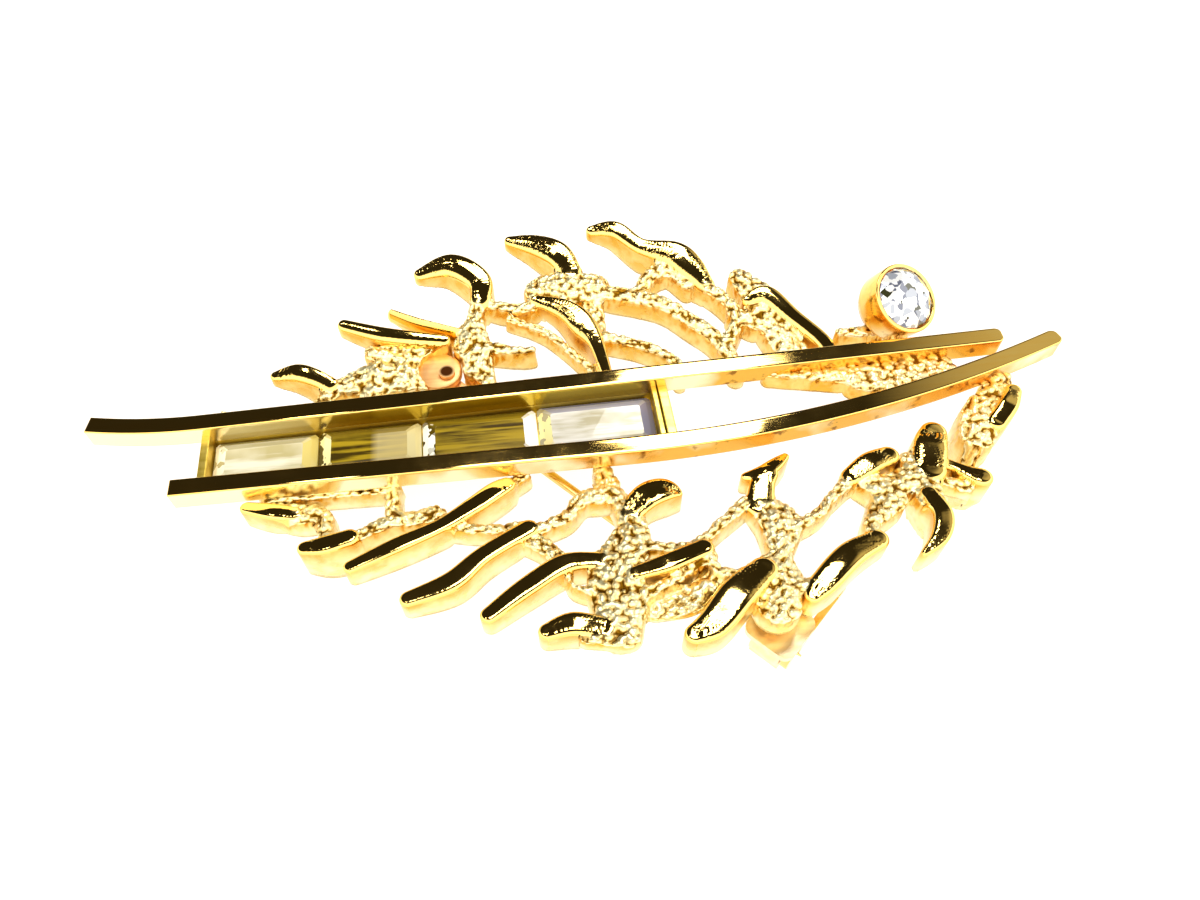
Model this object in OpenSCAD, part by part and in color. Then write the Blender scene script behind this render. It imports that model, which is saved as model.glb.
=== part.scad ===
// Leaf brooch: a cast, cup-shaped leaf of ribs and strands on two square bars,
// four step-cut stones in a channel, one round stone in a tilted cup,
// and a hinged pin with a turning catch underneath. Millimetres, +Z up, underside at Z = 0.

/* [Bars] */
// Height of the bar tops above the surface the brooch lies on
bar_top = 5.7; // [5.5:0.1:6.5]
// Width of both bars
bar_w = 1.35; // [1.1:0.05:1.6]
// Height of both bars
bar_h = 1.65; // [1.4:0.05:2]
// Left end of the upper bar
upper_left_x = -36; // [-38:0.5:-34]
// Right end of the upper bar
upper_right_x = 31.6; // [30:0.1:33]
// Left end of the lower bar
lower_left_x = -29.4; // [-31:0.1:-29]
// Right end of the lower bar, the tip of the leaf
lower_right_x = 36; // [34:0.5:38]
// Radius of the bend at the left end of the upper bar
upper_bend_r = 35; // [30:1:60]
// Radius of the bend at the right of the lower bar
lower_bend_r = 90; // [85:1:120]

/* [Leaf] */
// How far the inner edge of the leaf lies below the bar tops
leaf_drop = 1.4; // [1.2:0.1:1.6]
// Rise of the leaf per millimetre away from the bars
cup_slope = 0.16; // [0.1:0.01:0.2]
// Depth of the textured webs
web_depth = 2.1; // [1.8:0.1:2.2]
// Depth of the polished fingers
finger_depth = 2.4; // [2.2:0.1:2.6]
// Share of the full depth that a finger of the upper half has at its free tip
upper_tip_share = 0.4; // [0.3:0.05:1]
// Share of the full depth that a finger of the lower half has at its free tip
lower_tip_share = 0.8; // [0.3:0.05:1]
// Depth of the parts with tall walls
tall_depth = 3.9; // [3:0.1:4]
// Depth of the thin web between the bars and of the low lobes
thin_depth = 1; // [0.8:0.1:1.2]

/* [Channel stones] */
// Depth of the stone tables below the bar tops
table_drop = 1.4; // [1.2:0.1:1.5]
// Height of a stone's crown
crown_h = 0.55; // [0.4:0.05:0.6]
// Height of a stone's pavilion
pavilion_h = 0.5; // [0.4:0.1:0.6]
// Gap between neighbouring pieces
seat_gap = 0.06; // [0.05:0.01:0.1]
// Thickness of the plate under the stones
plate_t = 0.35; // [0.3:0.05:0.5]

/* [Round stone] */
// Diameter of the round stone
round_d = 4.8; // [4.6:0.1:5.2]
// Wall of the cup
cup_wall = 0.3; // [0.25:0.05:0.6]
// Depth of the cup
cup_h = 2.9; // [2.4:0.1:3]
// Lean of the cup away from upright
cup_tilt = 30; // [15:1:35]

/* [Pin and catch] */
// Height of the pin's axis above the surface
pin_z = 1.5; // [1.5:0.1:1.6]
// Diameter of the pin's wire
wire_d = 0.68; // [0.5:0.02:0.7]
// Distance from the hinge to the middle of the catch
pin_reach = 30.1; // [29:0.1:31]
// Diameter of the hinge rivet
rivet_d = 0.7; // [0.6:0.05:0.8]
// Radial clearance of the turning fits
run_gap = 0.05; // [0.03:0.01:0.08]
// Length of the catch housing
catch_l = 2.2; // [1.8:0.1:2.6]
// Length of the catch lever, from the axis
lever_l = 6; // [4:0.5:7]

/* [Hidden] */

// Shift that puts the middle of the whole outline over the origin
plan_shift = [0, -3.1, 0];

gold = [0.83, 0.62, 0.3];
pale_gold = [0.87, 0.76, 0.5];
clear_stone = [0.85, 0.88, 0.93];
golden_stone = [0.85, 0.7, 0.45];

bar_bottom = bar_top - bar_h;
leaf_in_z = bar_top - leaf_drop;
upper_edge_y = 7.1;
lower_edge_y = -0.5;

// Centre lines of the two bars
upper_y0 = 5.6;
upper_slope = 1.5 / 59;
upper_bend_x = -28;
lower_y0 = 0.25;
lower_bend_x = 2;
function upper_y(x) =
    upper_y0 + upper_slope * (x - upper_bend_x)
    + (x < upper_bend_x ? pow(x - upper_bend_x, 2) / (2 * upper_bend_r) : 0);
function lower_y(x) =
    lower_y0 + (x > lower_bend_x ? pow(x - lower_bend_x, 2) / (2 * lower_bend_r) : 0);

// Height of the leaf's face, a shallow cup that rises away from the bars
function cup_z(y) = leaf_in_z + cup_slope * max(0, y - upper_edge_y, lower_edge_y - y);

// Columns of every stroke table: place, half width, lift of the crown above the cup
X = 0;
Y = 1;
HALF = 2;
LIFT = 3;

// Polished fingers of the upper half, each from its free tip inwards
upper_fingers = [
    [[-23.3, 10.1, 0.4, 0], [-21.7, 10.1, 0.7, 0.3], [-20.4, 9.6, 0.7, 0.3], [-19.2, 8.9, 0.6, 0.1]],
    [[-18.2, 13.9, 0.5, 0.2], [-15, 12.7, 0.6, 0.3], [-10.6, 11.8, 0.45, 0.2]],
    [[-14.6, 15, 0.4, 0], [-12.5, 13.9, 0.5, 0.1], [-9.6, 12.8, 0.5, 0]],
    [[-12.3, 18.2, 0.5, 0], [-9.8, 18.6, 1, 0.4], [-7.7, 17, 1, 0.35],
     [-7.7, 15.2, 0.75, 0.1]],
    [[-5, 20.7, 0.45, 0], [-3, 20, 0.9, 0.3], [-1.3, 18.9, 1.1, 0.4], [-0.4, 17.3, 0.9, 0.1]],
    [[-3.4, 14.8, 0.4, 0.1], [-1.2, 13.6, 0.85, 0.4], [0, 12.1, 1, 0.5], [0.9, 10.2, 0.6, 0.4],
     [1.6, 6.6, 0.4, 0]],
    [[1.7, 21.1, 0.45, 0], [3.6, 20.9, 0.75, 0.3], [5.5, 19.1, 0.7, 0.2], [8.1, 18, 1.1, 0.4],
     [9.2, 16.7, 1.1, 0.3], [10.2, 15.1, 0.65, 0]],
    [[13.2, 13.1, 0.4, 0.2], [14.7, 13.3, 0.75, 0.5], [16.4, 11.2, 0.65, 0.4], [18.2, 9.1, 0.65, 0.2],
     [19, 7.5, 0.6, 0]]
];

// Strands and nugget masses of the upper half
upper_webs = [
    [[-27, 7.4, 0.35, 0], [-24.5, 6.4, 0.6, 0]],
    [[-20.4, 6.4, 0.8, -0.2], [-19.2, 8.6, 0.7, -0.1], [-16, 9.4, 1.3, 0], [-12.4, 9.2, 1.2, -0.1]],
    [[-16.4, 6.4, 1, -0.2], [-15.8, 9.6, 1.3, 0.1]],
    [[-16.2, 11.7, 0.7, -0.2], [-14, 11, 1, -0.3], [-11.4, 11, 0.8, -0.3]],
    [[-7.9, 15.2, 0.65, 0.1], [-8.2, 14, 0.7, 0], [-8.5, 12.6, 1.1, 0]],
    [[-4, 10.5, 0.35, 0], [-5, 10.6, 0.45, 0], [-7.4, 11.2, 0.6, 0]],
    [[-8.5, 12.3, 1.3, 0], [-8.6, 10.6, 1.5, 0], [-7.6, 8.5, 0.7, -0.1], [-7.3, 6.2, 0.7, -0.2]],
    [[-7.2, 15.2, 0.5, -0.1], [-5.2, 14.5, 0.5, -0.1], [-3, 14.8, 0.6, -0.1]],
    [[-3.1, 16, 1.2, 0], [-1, 16, 1.7, 0.1], [1.4, 15.9, 1.3, 0]],
    [[-5.6, 13.9, 0.35, -0.6], [-2.6, 12.2, 0.4, -0.6], [0.8, 8.2, 0.4, -0.5]],
    [[1.1, 15, 0.9, -0.5], [1.1, 11.4, 0.8, -0.5]],
    [[1.7, 11.2, 0.5, -0.1], [4.3, 10.3, 0.5, -0.1], [6.6, 8.8, 0.5, -0.1], [7, 7.3, 0.5, -0.1]],
    [[2, 15.4, 0.7, 0], [6.3, 13.9, 0.7, 0], [8.5, 12, 0.7, 0], [10.4, 10, 0.7, 0], [11.4, 7.45, 0.7, -0.1]],
    [[4.6, 14.9, 0.6, -0.1], [6, 16.6, 0.7, -0.1], [7.6, 17.2, 0.9, -0.1], [8.8, 15.6, 0.7, -0.1]],
    [[10, 15.2, 0.6, 0], [11.4, 13.8, 0.6, 0], [12.2, 12, 0.6, 0], [11.2, 10, 0.6, 0]],
    [[13, 15.7, 0.9, 0], [14, 14, 1.4, 0.1], [14.9, 12.2, 1.7, 0.1], [15.8, 9, 1.4, 0],
     [16.1, 7.8, 1.1, -0.1]],
    [[12, 12.3, 0.6, 0], [13.6, 11.6, 0.9, 0]],
    [[20, 9.8, 0.5, -0.1], [22, 9.7, 0.6, 0], [23.8, 10.3, 1.2, 0.1], [24.2, 7.7, 1, 0]]
];

// Polished fingers of the lower half, each from its free tip inwards
lower_fingers = [
    [[-24.4, -1.1, 0.5, 0.15], [-22.8, -1.6, 0.65, 0.2], [-21.2, -1.9, 0.6, 0]],
    [[-17, -6.9, 0.5, 0.1], [-14, -5.6, 0.65, 0.3], [-11.2, -4.3, 0.6, 0.2], [-9, -2.9, 0.75, 0.3],
     [-7.5, -1.8, 0.8, 0.3], [-6.7, -1.3, 0.65, 0.2]],
    [[-13.2, -9.8, 0.6, 0.1], [-10.5, -8.9, 0.8, 0.3], [-8.4, -7.1, 0.7, 0.3], [-5.4, -5.2, 0.7, 0.1]],
    [[-8.2, -11.6, 0.6, 0.1], [-5.8, -9.9, 0.75, 0.3], [-3.2, -8.4, 0.75, 0.3], [-0.8, -8.3, 0.6, 0]],
    [[1.6, -4.6, 0.8, 0], [2.8, -3.5, 1.1, 0.3], [4, -3.1, 1, 0.3], [5, -3.4, 0.35, 0]],
    [[-4.7, -13.2, 0.6, 0.1], [-3.1, -12.9, 0.85, 0.3], [-1.2, -13.3, 0.7, 0]],
    [[1.3, -9.6, 0.5, 0.1], [3.2, -9.2, 0.7, 0.3], [5.9, -8.2, 0.65, 0.15]],
    [[9.4, -10.3, 0.9, 0.15], [7.4, -11.9, 1.15, 0.4], [5.5, -13.8, 1.05, 0.25], [4.2, -14.4, 0.7, 0]],
    [[10.4, -5, 1, 0], [10.9, -3.4, 0.9, 0.2], [11.5, -2.6, 0.7, 0.3]],
    [[9.9, -2.6, 0.35, 0.1], [11.2, -2.4, 0.6, 0.25], [12.2, -1.8, 0.55, 0.25], [13.1, -1.1, 0.3, 0.1]],
    [[17.3, -8.9, 0.75, 0.1], [15.2, -9.9, 0.95, 0.3], [13.1, -11.6, 0.9, 0.2], [12, -12.6, 0.55, 0]],
    [[17.2, -3.4, 0.7, 0.1], [18.8, -2.5, 0.9, 0.4], [20.3, -1.9, 0.8, 0.2]],
    [[22.9, -3.4, 1.1, 0.1], [23.5, -1.5, 1.2, 0.4], [24.2, -0.3, 1, 0.25]],
    [[31.2, 2.6, 0.6, 0.4], [30.3, 1.3, 0.7, 0.6], [29.1, 0.1, 0.7, 0.3]],
    [[22, -5.6, 0.6, 0.1], [22.2, -7.5, 0.7, 0.3], [21.4, -9.2, 0.6, 0.2], [19.9, -10.4, 0.25, 0]],
    [[26.4, -4.3, 0.8, -0.4], [25.8, -3.8, 0.6, -0.5], [25, -3, 0.4, -0.6], [24, -2.3, 0.4, -0.6]]
];

// A finger and a root of the lower half whose walls go deeper
tall_fingers = [
    [[-20.1, -5, 0.55, 0.1], [-18.8, -5, 0.75, 0.3], [-17.3, -4.6, 0.7, 0.3]],
    [[-17.2, -4.6, 0.55, 0.1], [-15.5, -3.7, 0.6, 0.1], [-14, -3, 0.7, 0]],
    [[22, -5.4, 0.55, 0], [22.25, -7, 0.45, 0]]
];

// Strands and nugget masses of the lower half
lower_webs = [
    [[-23.4, -0.1, 0.55, -0.2], [-19, -0.2, 0.5, -0.2], [-14.6, -0.2, 0.6, -0.2]],
    [[-6.9, -1.3, 0.5, 0], [-5.4, -0.2, 0.5, -0.2]],
    [[-23, -1.2, 0.7, -0.1], [-21, -1.8, 1, 0], [-19.4, -2.2, 0.8, 0], [-18.9, -4.2, 0.5, 0]],
    [[-14.6, -0.4, 0.5, -0.1], [-14.2, -3, 0.7, 0], [-11.6, -2.9, 0.8, 0]],
    [[-10.6, -4.2, 0.5, -0.1], [-8.5, -4.7, 0.5, -0.1], [-5.8, -4.8, 0.6, -0.1]],
    [[-6, -5.6, 0.6, -0.1], [-4.4, -6.6, 0.7, -0.1], [-3.4, -8, 0.6, -0.1]],
    [[-5.4, -5.3, 0.6, 0], [-3, -4.5, 0.6, 0], [-1.6, -3, 0.7, 0], [0.2, -2.4, 1, 0.1], [0.1, 0, 0.7, -0.2]],
    [[0.8, -2.8, 0.7, 0], [1.5, -5, 1, 0], [1.2, -7, 1.5, 0.1], [0, -9, 1.8, 0.1], [-0.1, -11, 1.9, 0.1],
     [-0.2, -13.1, 1.5, 0]],
    [[-3.1, -9, 0.3, -0.2], [-2.8, -10, 0.3, -0.1], [-1.6, -10.6, 0.4, -0.1]],
    [[1.4, -11, 0.7, -0.1], [3, -10.5, 0.5, -0.1], [6.3, -8.7, 0.5, -0.1]],
    [[2, -7.3, 0.5, 0], [5, -7.9, 0.5, 0], [7.4, -6.3, 0.5, 0], [9.4, -4.7, 0.6, 0]],
    [[6.2, -8.4, 0.4, 0], [6.4, -9.7, 0.4, 0], [7.8, -10.3, 0.45, 0], [10.2, -9.4, 0.6, 0]],
    [[10.4, -4.9, 1, 0], [11.4, -6.6, 1.5, 0.1], [10.8, -9.2, 0.9, 0], [10.5, -11, 1.4, 0],
     [9.8, -12.8, 1.5, -0.1]],
    [[12, -7.2, 0.6, 0], [14, -6.3, 0.5, 0], [15.5, -4.9, 0.5, 0], [17.2, -3.5, 0.6, 0]],
    [[18, -3.6, 0.9, 0], [19.4, -5.2, 1.3, 0.1], [17.4, -7.6, 0.6, 0], [17.2, -8.9, 0.6, 0]],
    [[19.4, -4.6, 1.2, 0], [21.8, -4, 1.2, 0], [22.2, -6, 1.1, 0]],
    [[22, -2.35, 1, 0], [21.9, -4, 1.1, 0.05]],
    [[10.6, -11.7, 0.7, 0], [12.6, -11.8, 0.6, 0]],
    [[31, 4.5, 1, 0.1], [30, 2.6, 1.4, 0.2], [28.4, 1.1, 1.5, 0.2], [27.6, -0.6, 1.3, 0]],
    [[23.4, -4, 0.5, -0.4], [25.3, -4.7, 0.6, -0.9]],
    [[24, -2.3, 0.5, -0.6], [25.6, -3.2, 0.5, -0.8]]
];

// Low flat walls of the right cluster that reach the surface
foot_walls = [
    [[27.8, 0.4, 1.2, -0.15], [27.3, -0.5, 1.1, -0.25]],
    [[27.2, -0.9, 0.7, -3.4], [26.2, -3.7, 0.6, -3.4]],
    [[26.3, -3.9, 0.7, -1.3], [25.3, -3.5, 0.6, -1.3]]
];

// Thin parts: the web between the bars near the tip, a low lobe and a hollow
thin_webs = [
    [[13.6, 6.35, 0.6, 0.6], [16.4, 5.75, 0.6, 0.6], [20, 5.5, 1.1, 0.6], [23.6, 5, 1.5, 0.6],
     [26.2, 5.2, 1.6, 0.6]],
    [[19.8, 4.8, 0.9, 0.6], [22.4, 3.9, 1, 0.6]],
    [[-2.4, -13.9, 0.5, 0], [0.2, -14.1, 0.8, 0]],
    [[2.2, -11.8, 1, -0.9], [4.6, -11.4, 1.1, -0.9], [6.6, -10, 0.7, -0.7]]
];

// Seat of the hinge: a flat disc cast on the leaf, with the hole for the bracket's tenon
seat_xy = [-11.2, 9.8];
seat_r = 1.7;
seat_z = 3.3;
seat_t = 0.7;

// Hinge point and direction of the pin
hinge_xy = [-10.6, 8.5];
catch_xy = [10.3, -13.5];
pin_turn = atan2(catch_xy[Y] - hinge_xy[Y], catch_xy[X] - hinge_xy[X]);
// Sideways place of the tenon in the pin's frame
tenon_xy = [-0.65, 0.62];
tenon_r = 0.42;

// Catch seat in the leaf: its height, and the tenon on the catch's foot plate
catch_seat_z = 3.6;
catch_tenon_xy = [-0.4, 0.6];
catch_tenon_h = 0.8;
foot_plate_t = 0.5;

// Room under the leaf that the bracket and the catch stand in
bracket_room = [4.4, 3.8];
catch_room = [5.4, 6];
catch_room_low = [-2.4, -2.6];
peen_room_r = 1.5;

function mix_rows(a, b, c, d, t) =
    0.5 * (2 * b + (c - a) * t + (2 * a - 5 * b + 4 * c - d) * t * t + (3 * b - a - 3 * c + d) * t * t * t);

// Rows of a stroke with n smooth steps between each two
function smooth_rows(rows, n) = concat(
    [for (i = [0:len(rows) - 2], k = [0:n - 1])
        mix_rows(rows[max(i - 1, 0)], rows[i], rows[i + 1], rows[min(i + 2, len(rows) - 1)], k / n)],
    [rows[len(rows) - 1]]);

// One station of a stroke: an upright wall with a crown that is narrower at the top
module station(row, base_z, crown, crown_share, sides) {
    top = cup_z(row[Y]) + row[LIFT];
    shoulder = top - crown * row[HALF];
    translate([row[X], row[Y], base_z]) {
        cylinder(r = row[HALF], h = shoulder - base_z, $fn = sides);
        cylinder(r = row[HALF] * crown_share, h = top - base_z, $fn = sides);
    }
}

// Number of stations over which the depth grows from the tip's to the full one
taper_steps = 4;

module stroke(rows, depth, crown, crown_share, sides, tip_share = 1) {
    function base_z(i) = cup_z(rows[i][Y]) - depth * min(1, tip_share + (1 - tip_share) * i / taper_steps);
    for (i = [0:len(rows) - 2])
        hull() {
            station(rows[i], base_z(i), crown, crown_share, sides);
            station(rows[i + 1], base_z(i + 1), crown, crown_share, sides);
        }
}

module fingers(table, depth, tip_share) {
    for (rows = table) stroke(smooth_rows(rows, 2), depth, 0.5, 0.5, 8, tip_share);
}

module webs(table, depth) {
    for (rows = table) stroke(rows, depth, 0.3, 0.7, 7);
}

module feet() {
    for (rows = foot_walls)
        hull() {
            station(rows[0], 0, 0.2, 0.8, 8);
            station(rows[1], 0, 0.2, 0.8, 8);
        }
}

// Outline of a strip along a bar, between two offsets from its centre line
function strip(xs, ys, low, high) = concat(
    [for (i = [0:len(xs) - 1]) [xs[i], ys[i] + low]],
    [for (i = [len(xs) - 1:-1:0]) [xs[i], ys[i] + high]]);

function steps(from, to, n) = [for (i = [0:n]) from + (to - from) * i / n];

module bars() {
    upper_xs = concat(steps(upper_left_x, upper_bend_x, 5), [upper_right_x]);
    lower_xs = concat([lower_left_x], steps(lower_bend_x, lower_right_x, 12));
    translate([0, 0, bar_bottom]) linear_extrude(bar_h) {
        polygon(strip(upper_xs, [for (x = upper_xs) upper_y(x)], -bar_w / 2, bar_w / 2));
        polygon(strip(lower_xs, [for (x = lower_xs) lower_y(x)], -bar_w / 2, bar_w / 2));
    }
}

// Channel: a plate, thin walls under the inner faces of the bars, and end walls
channel_left = -28;
channel_right = 5.7;
channel_wall = 0.4;
wall_set_back = 0.03;
end_wall_reach = 0.3;
end_wall_drop = 0.9;
end_strip_t = 0.4;
first_stone_x = -27.3;
stone_lengths = [7.3, 7.3, 8.3, 8.5];
stone_gap = 0.1;
girdle_h = 0.2;
table_z = bar_top - table_drop;
plate_top = table_z - crown_h - girdle_h - pavilion_h - seat_gap;
function stone_left(i) = first_stone_x + (i == 0 ? 0 : stone_left(i - 1) - first_stone_x
    + stone_lengths[i - 1] + stone_gap);
stones_right = stone_left(3) + stone_lengths[3];
function inner_low(x) = lower_y(x) + bar_w / 2;
function inner_high(x) = upper_y(x) - bar_w / 2;

module channel() {
    xs = [channel_left, channel_right];
    high = [for (x = xs) inner_high(x)];
    low = [for (x = xs) inner_low(x)];
    base = plate_top - plate_t;
    strip_right = stones_right + stone_gap + end_strip_t;
    translate([0, 0, base]) {
        linear_extrude(bar_bottom - base + 0.1) {
            polygon(strip(xs, low, -channel_wall, -wall_set_back));
            polygon(strip(xs, high, wall_set_back, channel_wall));
        }
        linear_extrude(plate_t) polygon(strip(xs, low, -end_wall_reach, high[1] - low[1] + end_wall_reach));
        linear_extrude(bar_top - end_wall_drop - base) {
            end_wall(channel_left, first_stone_x - stone_gap);
            end_wall(stones_right + stone_gap, strip_right);
            end_wall(strip_right + stone_gap, channel_right);
        }
    }
}

module end_wall(left, right) {
    polygon(strip([left, right], [inner_low(left), inner_low(right)], -end_wall_reach,
        inner_high(left) - inner_low(left) + end_wall_reach));
}

// Cup of the round stone, leaning towards the tip and the bars
cup_xy = [24.65, 10.3];
cup_mouth_z = bar_top + 1.4;
cup_lean_turn = -50;
cup_r = round_d / 2 + seat_gap + cup_wall;

module at_cup() {
    translate([cup_xy[X], cup_xy[Y], cup_mouth_z])
        rotate([0, 0, cup_lean_turn]) rotate([0, cup_tilt, 0]) children();
}

module cup() {
    floor_t = 0.5;
    foot_r = cup_r - 0.4;
    inner_r = round_d / 2 + seat_gap;
    at_cup() rotate_extrude($fn = 32)
        polygon([[0, -cup_h], [foot_r, -cup_h], [cup_r, -cup_h + 0.7], [cup_r, 0], [inner_r, 0],
            [inner_r, -0.4], [inner_r - 0.5, -cup_h + floor_t], [0, -cup_h + floor_t]]);
}

module hinge_seat() {
    translate([seat_xy[X], seat_xy[Y], seat_z]) cylinder(r = seat_r, h = seat_t, $fn = 24);
}

module at_hinge() {
    translate([hinge_xy[X], hinge_xy[Y], pin_z]) rotate([0, 0, pin_turn]) children();
}

module at_catch() {
    at_hinge() translate([pin_reach, 0, 0]) children();
}

// Room under the leaf for the bracket, the catch plate and their tenons
module finding_room() {
    at_hinge() {
        translate([-bracket_room[X] / 2, -bracket_room[Y] / 2, -pin_z])
            cube([bracket_room[X], bracket_room[Y], seat_z]);
        translate([tenon_xy[X], tenon_xy[Y], 0]) {
            cylinder(r = tenon_r + seat_gap, h = bar_top, $fn = 16);
            translate([0, 0, seat_z + seat_t - pin_z]) cylinder(r = peen_room_r, h = bar_top, $fn = 24);
        }
    }
    at_catch() {
        translate([catch_room_low[X], catch_room_low[Y], -pin_z])
            cube([catch_room[X], catch_room[Y], catch_seat_z]);
        translate([catch_tenon_xy[X], catch_tenon_xy[Y], 0])
            cylinder(r = tenon_r + seat_gap, h = catch_seat_z - pin_z + catch_tenon_h, $fn = 16);
    }
}

module leaf_frame() {
    color(gold) translate(plan_shift) {
        difference() {
            union() {
                fingers(upper_fingers, finger_depth, upper_tip_share);
                fingers(lower_fingers, finger_depth, lower_tip_share);
                fingers(tall_fingers, tall_depth, lower_tip_share);
                webs(upper_webs, web_depth);
                webs(lower_webs, web_depth);
                webs(thin_webs, thin_depth);
                bars();
                channel();
                hinge_seat();
            }
            finding_room();
            at_cup() translate([0, 0, cup_wall - cup_h])
                cylinder(r = cup_r - cup_wall, h = 2 * cup_h, $fn = 32);
        }
        feet();
        cup();
    }
}

// Ring of eight points: a rectangle of the given half sizes with cut corners
function cut_ring(a, b, cut, z) = [
    [a - cut, -b, z], [a, -b + cut, z], [a, b - cut, z], [a - cut, b, z],
    [-a + cut, b, z], [-a, b - cut, z], [-a, -b + cut, z], [-a + cut, -b, z]];

// Closed solid through equal rings, from the lowest to the highest
module ring_solid(rings) {
    n = len(rings[0]);
    sides = [for (k = [0:len(rings) - 2], i = [0:n - 1])
        [k * n + i, (k + 1) * n + i, (k + 1) * n + (i + 1) % n, k * n + (i + 1) % n]];
    polyhedron(
        points = [for (ring = rings) for (p = ring) p],
        faces = concat(sides, [[for (i = [0:n - 1]) i], [for (i = [n - 1:-1:0]) (len(rings) - 1) * n + i]]));
}

// Step-cut stone: two crown steps, a girdle and two pavilion steps
module step_cut(length, width) {
    a = length / 2;
    b = width / 2;
    cut = 0.25;
    table_in = 0.95;
    step_in = 0.4;
    keel_in = 1.5;
    ring_solid([
        cut_ring(a - keel_in, b - keel_in, cut / 2, -pavilion_h),
        cut_ring(a - step_in, b - step_in, cut * 0.8, -0.35 * pavilion_h),
        cut_ring(a, b, cut, 0),
        cut_ring(a, b, cut, girdle_h),
        cut_ring(a - step_in, b - step_in, cut * 0.8, girdle_h + 0.6 * crown_h),
        cut_ring(a - table_in, b - table_in, cut / 2, girdle_h + crown_h)
    ]);
}

module baguette(i, tint) {
    mid = stone_left(i) + stone_lengths[i] / 2;
    width = inner_high(stone_left(i)) - inner_low(stone_left(i)) - 2 * seat_gap;
    mid_y = (inner_high(mid) + inner_low(mid)) / 2;
    color(tint) translate(plan_shift)
        translate([mid, mid_y, plate_top + seat_gap + pavilion_h])
            rotate([0, 0, atan(upper_slope) / 2]) step_cut(stone_lengths[i], width);
}

// Round brilliant: table, stars, mains, girdle band, pavilion mains and a small culet
module round_stone() {
    girdle_z = -0.1;
    band = 0.12;
    rise = 0.8;
    pavilion = 1.35;
    table_r = 0.56 * round_d / 2;
    star_r = 0.8 * round_d / 2;
    star_z = girdle_z + rise - rise * (star_r * cos(22.5) - table_r) / (round_d / 2 - table_r);
    culet_r = 0.12;
    function round_ring(n, r, z, turn) = [for (i = [0:n - 1])
        [r * cos(360 * i / n + turn), r * sin(360 * i / n + turn), z]];
    points = concat(
        round_ring(8, culet_r, girdle_z - band - pavilion, 0),
        round_ring(16, round_d / 2, girdle_z - band, 0),
        round_ring(16, round_d / 2, girdle_z, 0),
        round_ring(8, star_r, star_z, 22.5),
        round_ring(8, table_r, girdle_z + rise, 0));
    low = 8;
    high = 24;
    star = 40;
    top = 48;
    faces = concat(
        [[for (i = [0:7]) i]],
        [for (i = [0:7]) [i, low + 2 * i, low + (2 * i + 1)]],
        [for (i = [0:7]) [i, low + (2 * i + 1), (i + 1) % 8]],
        [for (i = [0:7]) [(i + 1) % 8, low + (2 * i + 1), low + (2 * i + 2) % 16]],
        [for (i = [0:15]) [low + i, high + i, high + (i + 1) % 16, low + (i + 1) % 16]],
        [for (i = [0:7]) [high + 2 * i, star + i, high + 2 * i + 1]],
        [for (i = [0:7]) [high + 2 * i + 1, star + i, high + (2 * i + 2) % 16]],
        [for (i = [0:7]) [high + 2 * i, top + i, star + i]],
        [for (i = [0:7]) [high + (2 * i + 2) % 16, star + i, top + (i + 1) % 8]],
        [for (i = [0:7]) [top + i, top + (i + 1) % 8, star + i]],
        [[for (i = [7:-1:0]) top + i]]);
    color(clear_stone) translate(plan_shift) at_cup() polyhedron(points = points, faces = faces);
}

// Bracket: a plate with two cheeks, and a tenon that is peened over the leaf's seat
cheek_in = 0.75;
cheek_t = 0.4;
plate_low = 1.2;
rivet_play = 0.04;
peen_rim = 0.2;
peen_h = 0.25;
rivet_head_r = 0.6;
rivet_head_t = 0.3;
rivet_head_gap = 0.02;
plate_high = seat_z - pin_z - seat_gap;

module hinge_bracket() {
    color(pale_gold) translate(plan_shift) at_hinge() {
        difference() {
            union() {
                for (side = [-1, 1]) translate([0, side * (cheek_in + cheek_t / 2), 0]) {
                    rotate([90, 0, 0]) cylinder(r = pin_z, h = cheek_t, center = true, $fn = 48);
                    translate([-pin_z, -cheek_t / 2, 0]) cube([2 * pin_z, cheek_t, plate_high]);
                }
                translate([-pin_z, -cheek_in - cheek_t, plate_low])
                    cube([2 * pin_z, 2 * (cheek_in + cheek_t), plate_high - plate_low]);
            }
            rotate([90, 0, 0]) cylinder(d = rivet_d + rivet_play, h = 4, center = true, $fn = 32);
        }
        shank_h = seat_z + seat_t + seat_gap - pin_z - plate_low;
        translate([tenon_xy[X], tenon_xy[Y], plate_low]) {
            cylinder(r = tenon_r, h = shank_h + peen_h, $fn = 24);
            translate([0, 0, shank_h]) cylinder(r = tenon_r + peen_rim, h = peen_h, $fn = 24);
        }
    }
}

module hinge_rivet() {
    head_in = cheek_in + cheek_t + rivet_head_gap;
    color(pale_gold) translate(plan_shift) at_hinge() rotate([90, 0, 0]) {
        cylinder(d = rivet_d, h = 2 * head_in + rivet_head_t, center = true, $fn = 32);
        for (side = [-1, 1]) translate([0, 0, side * (head_in + rivet_head_t / 2)])
            cylinder(r = rivet_head_r, h = rivet_head_t, center = true, $fn = 32);
    }
}

// Pin: an eye on the rivet, a round wire and a sharp point
eye_r = 0.85;
point_l = 1.8;
past_catch = 2;

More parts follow.
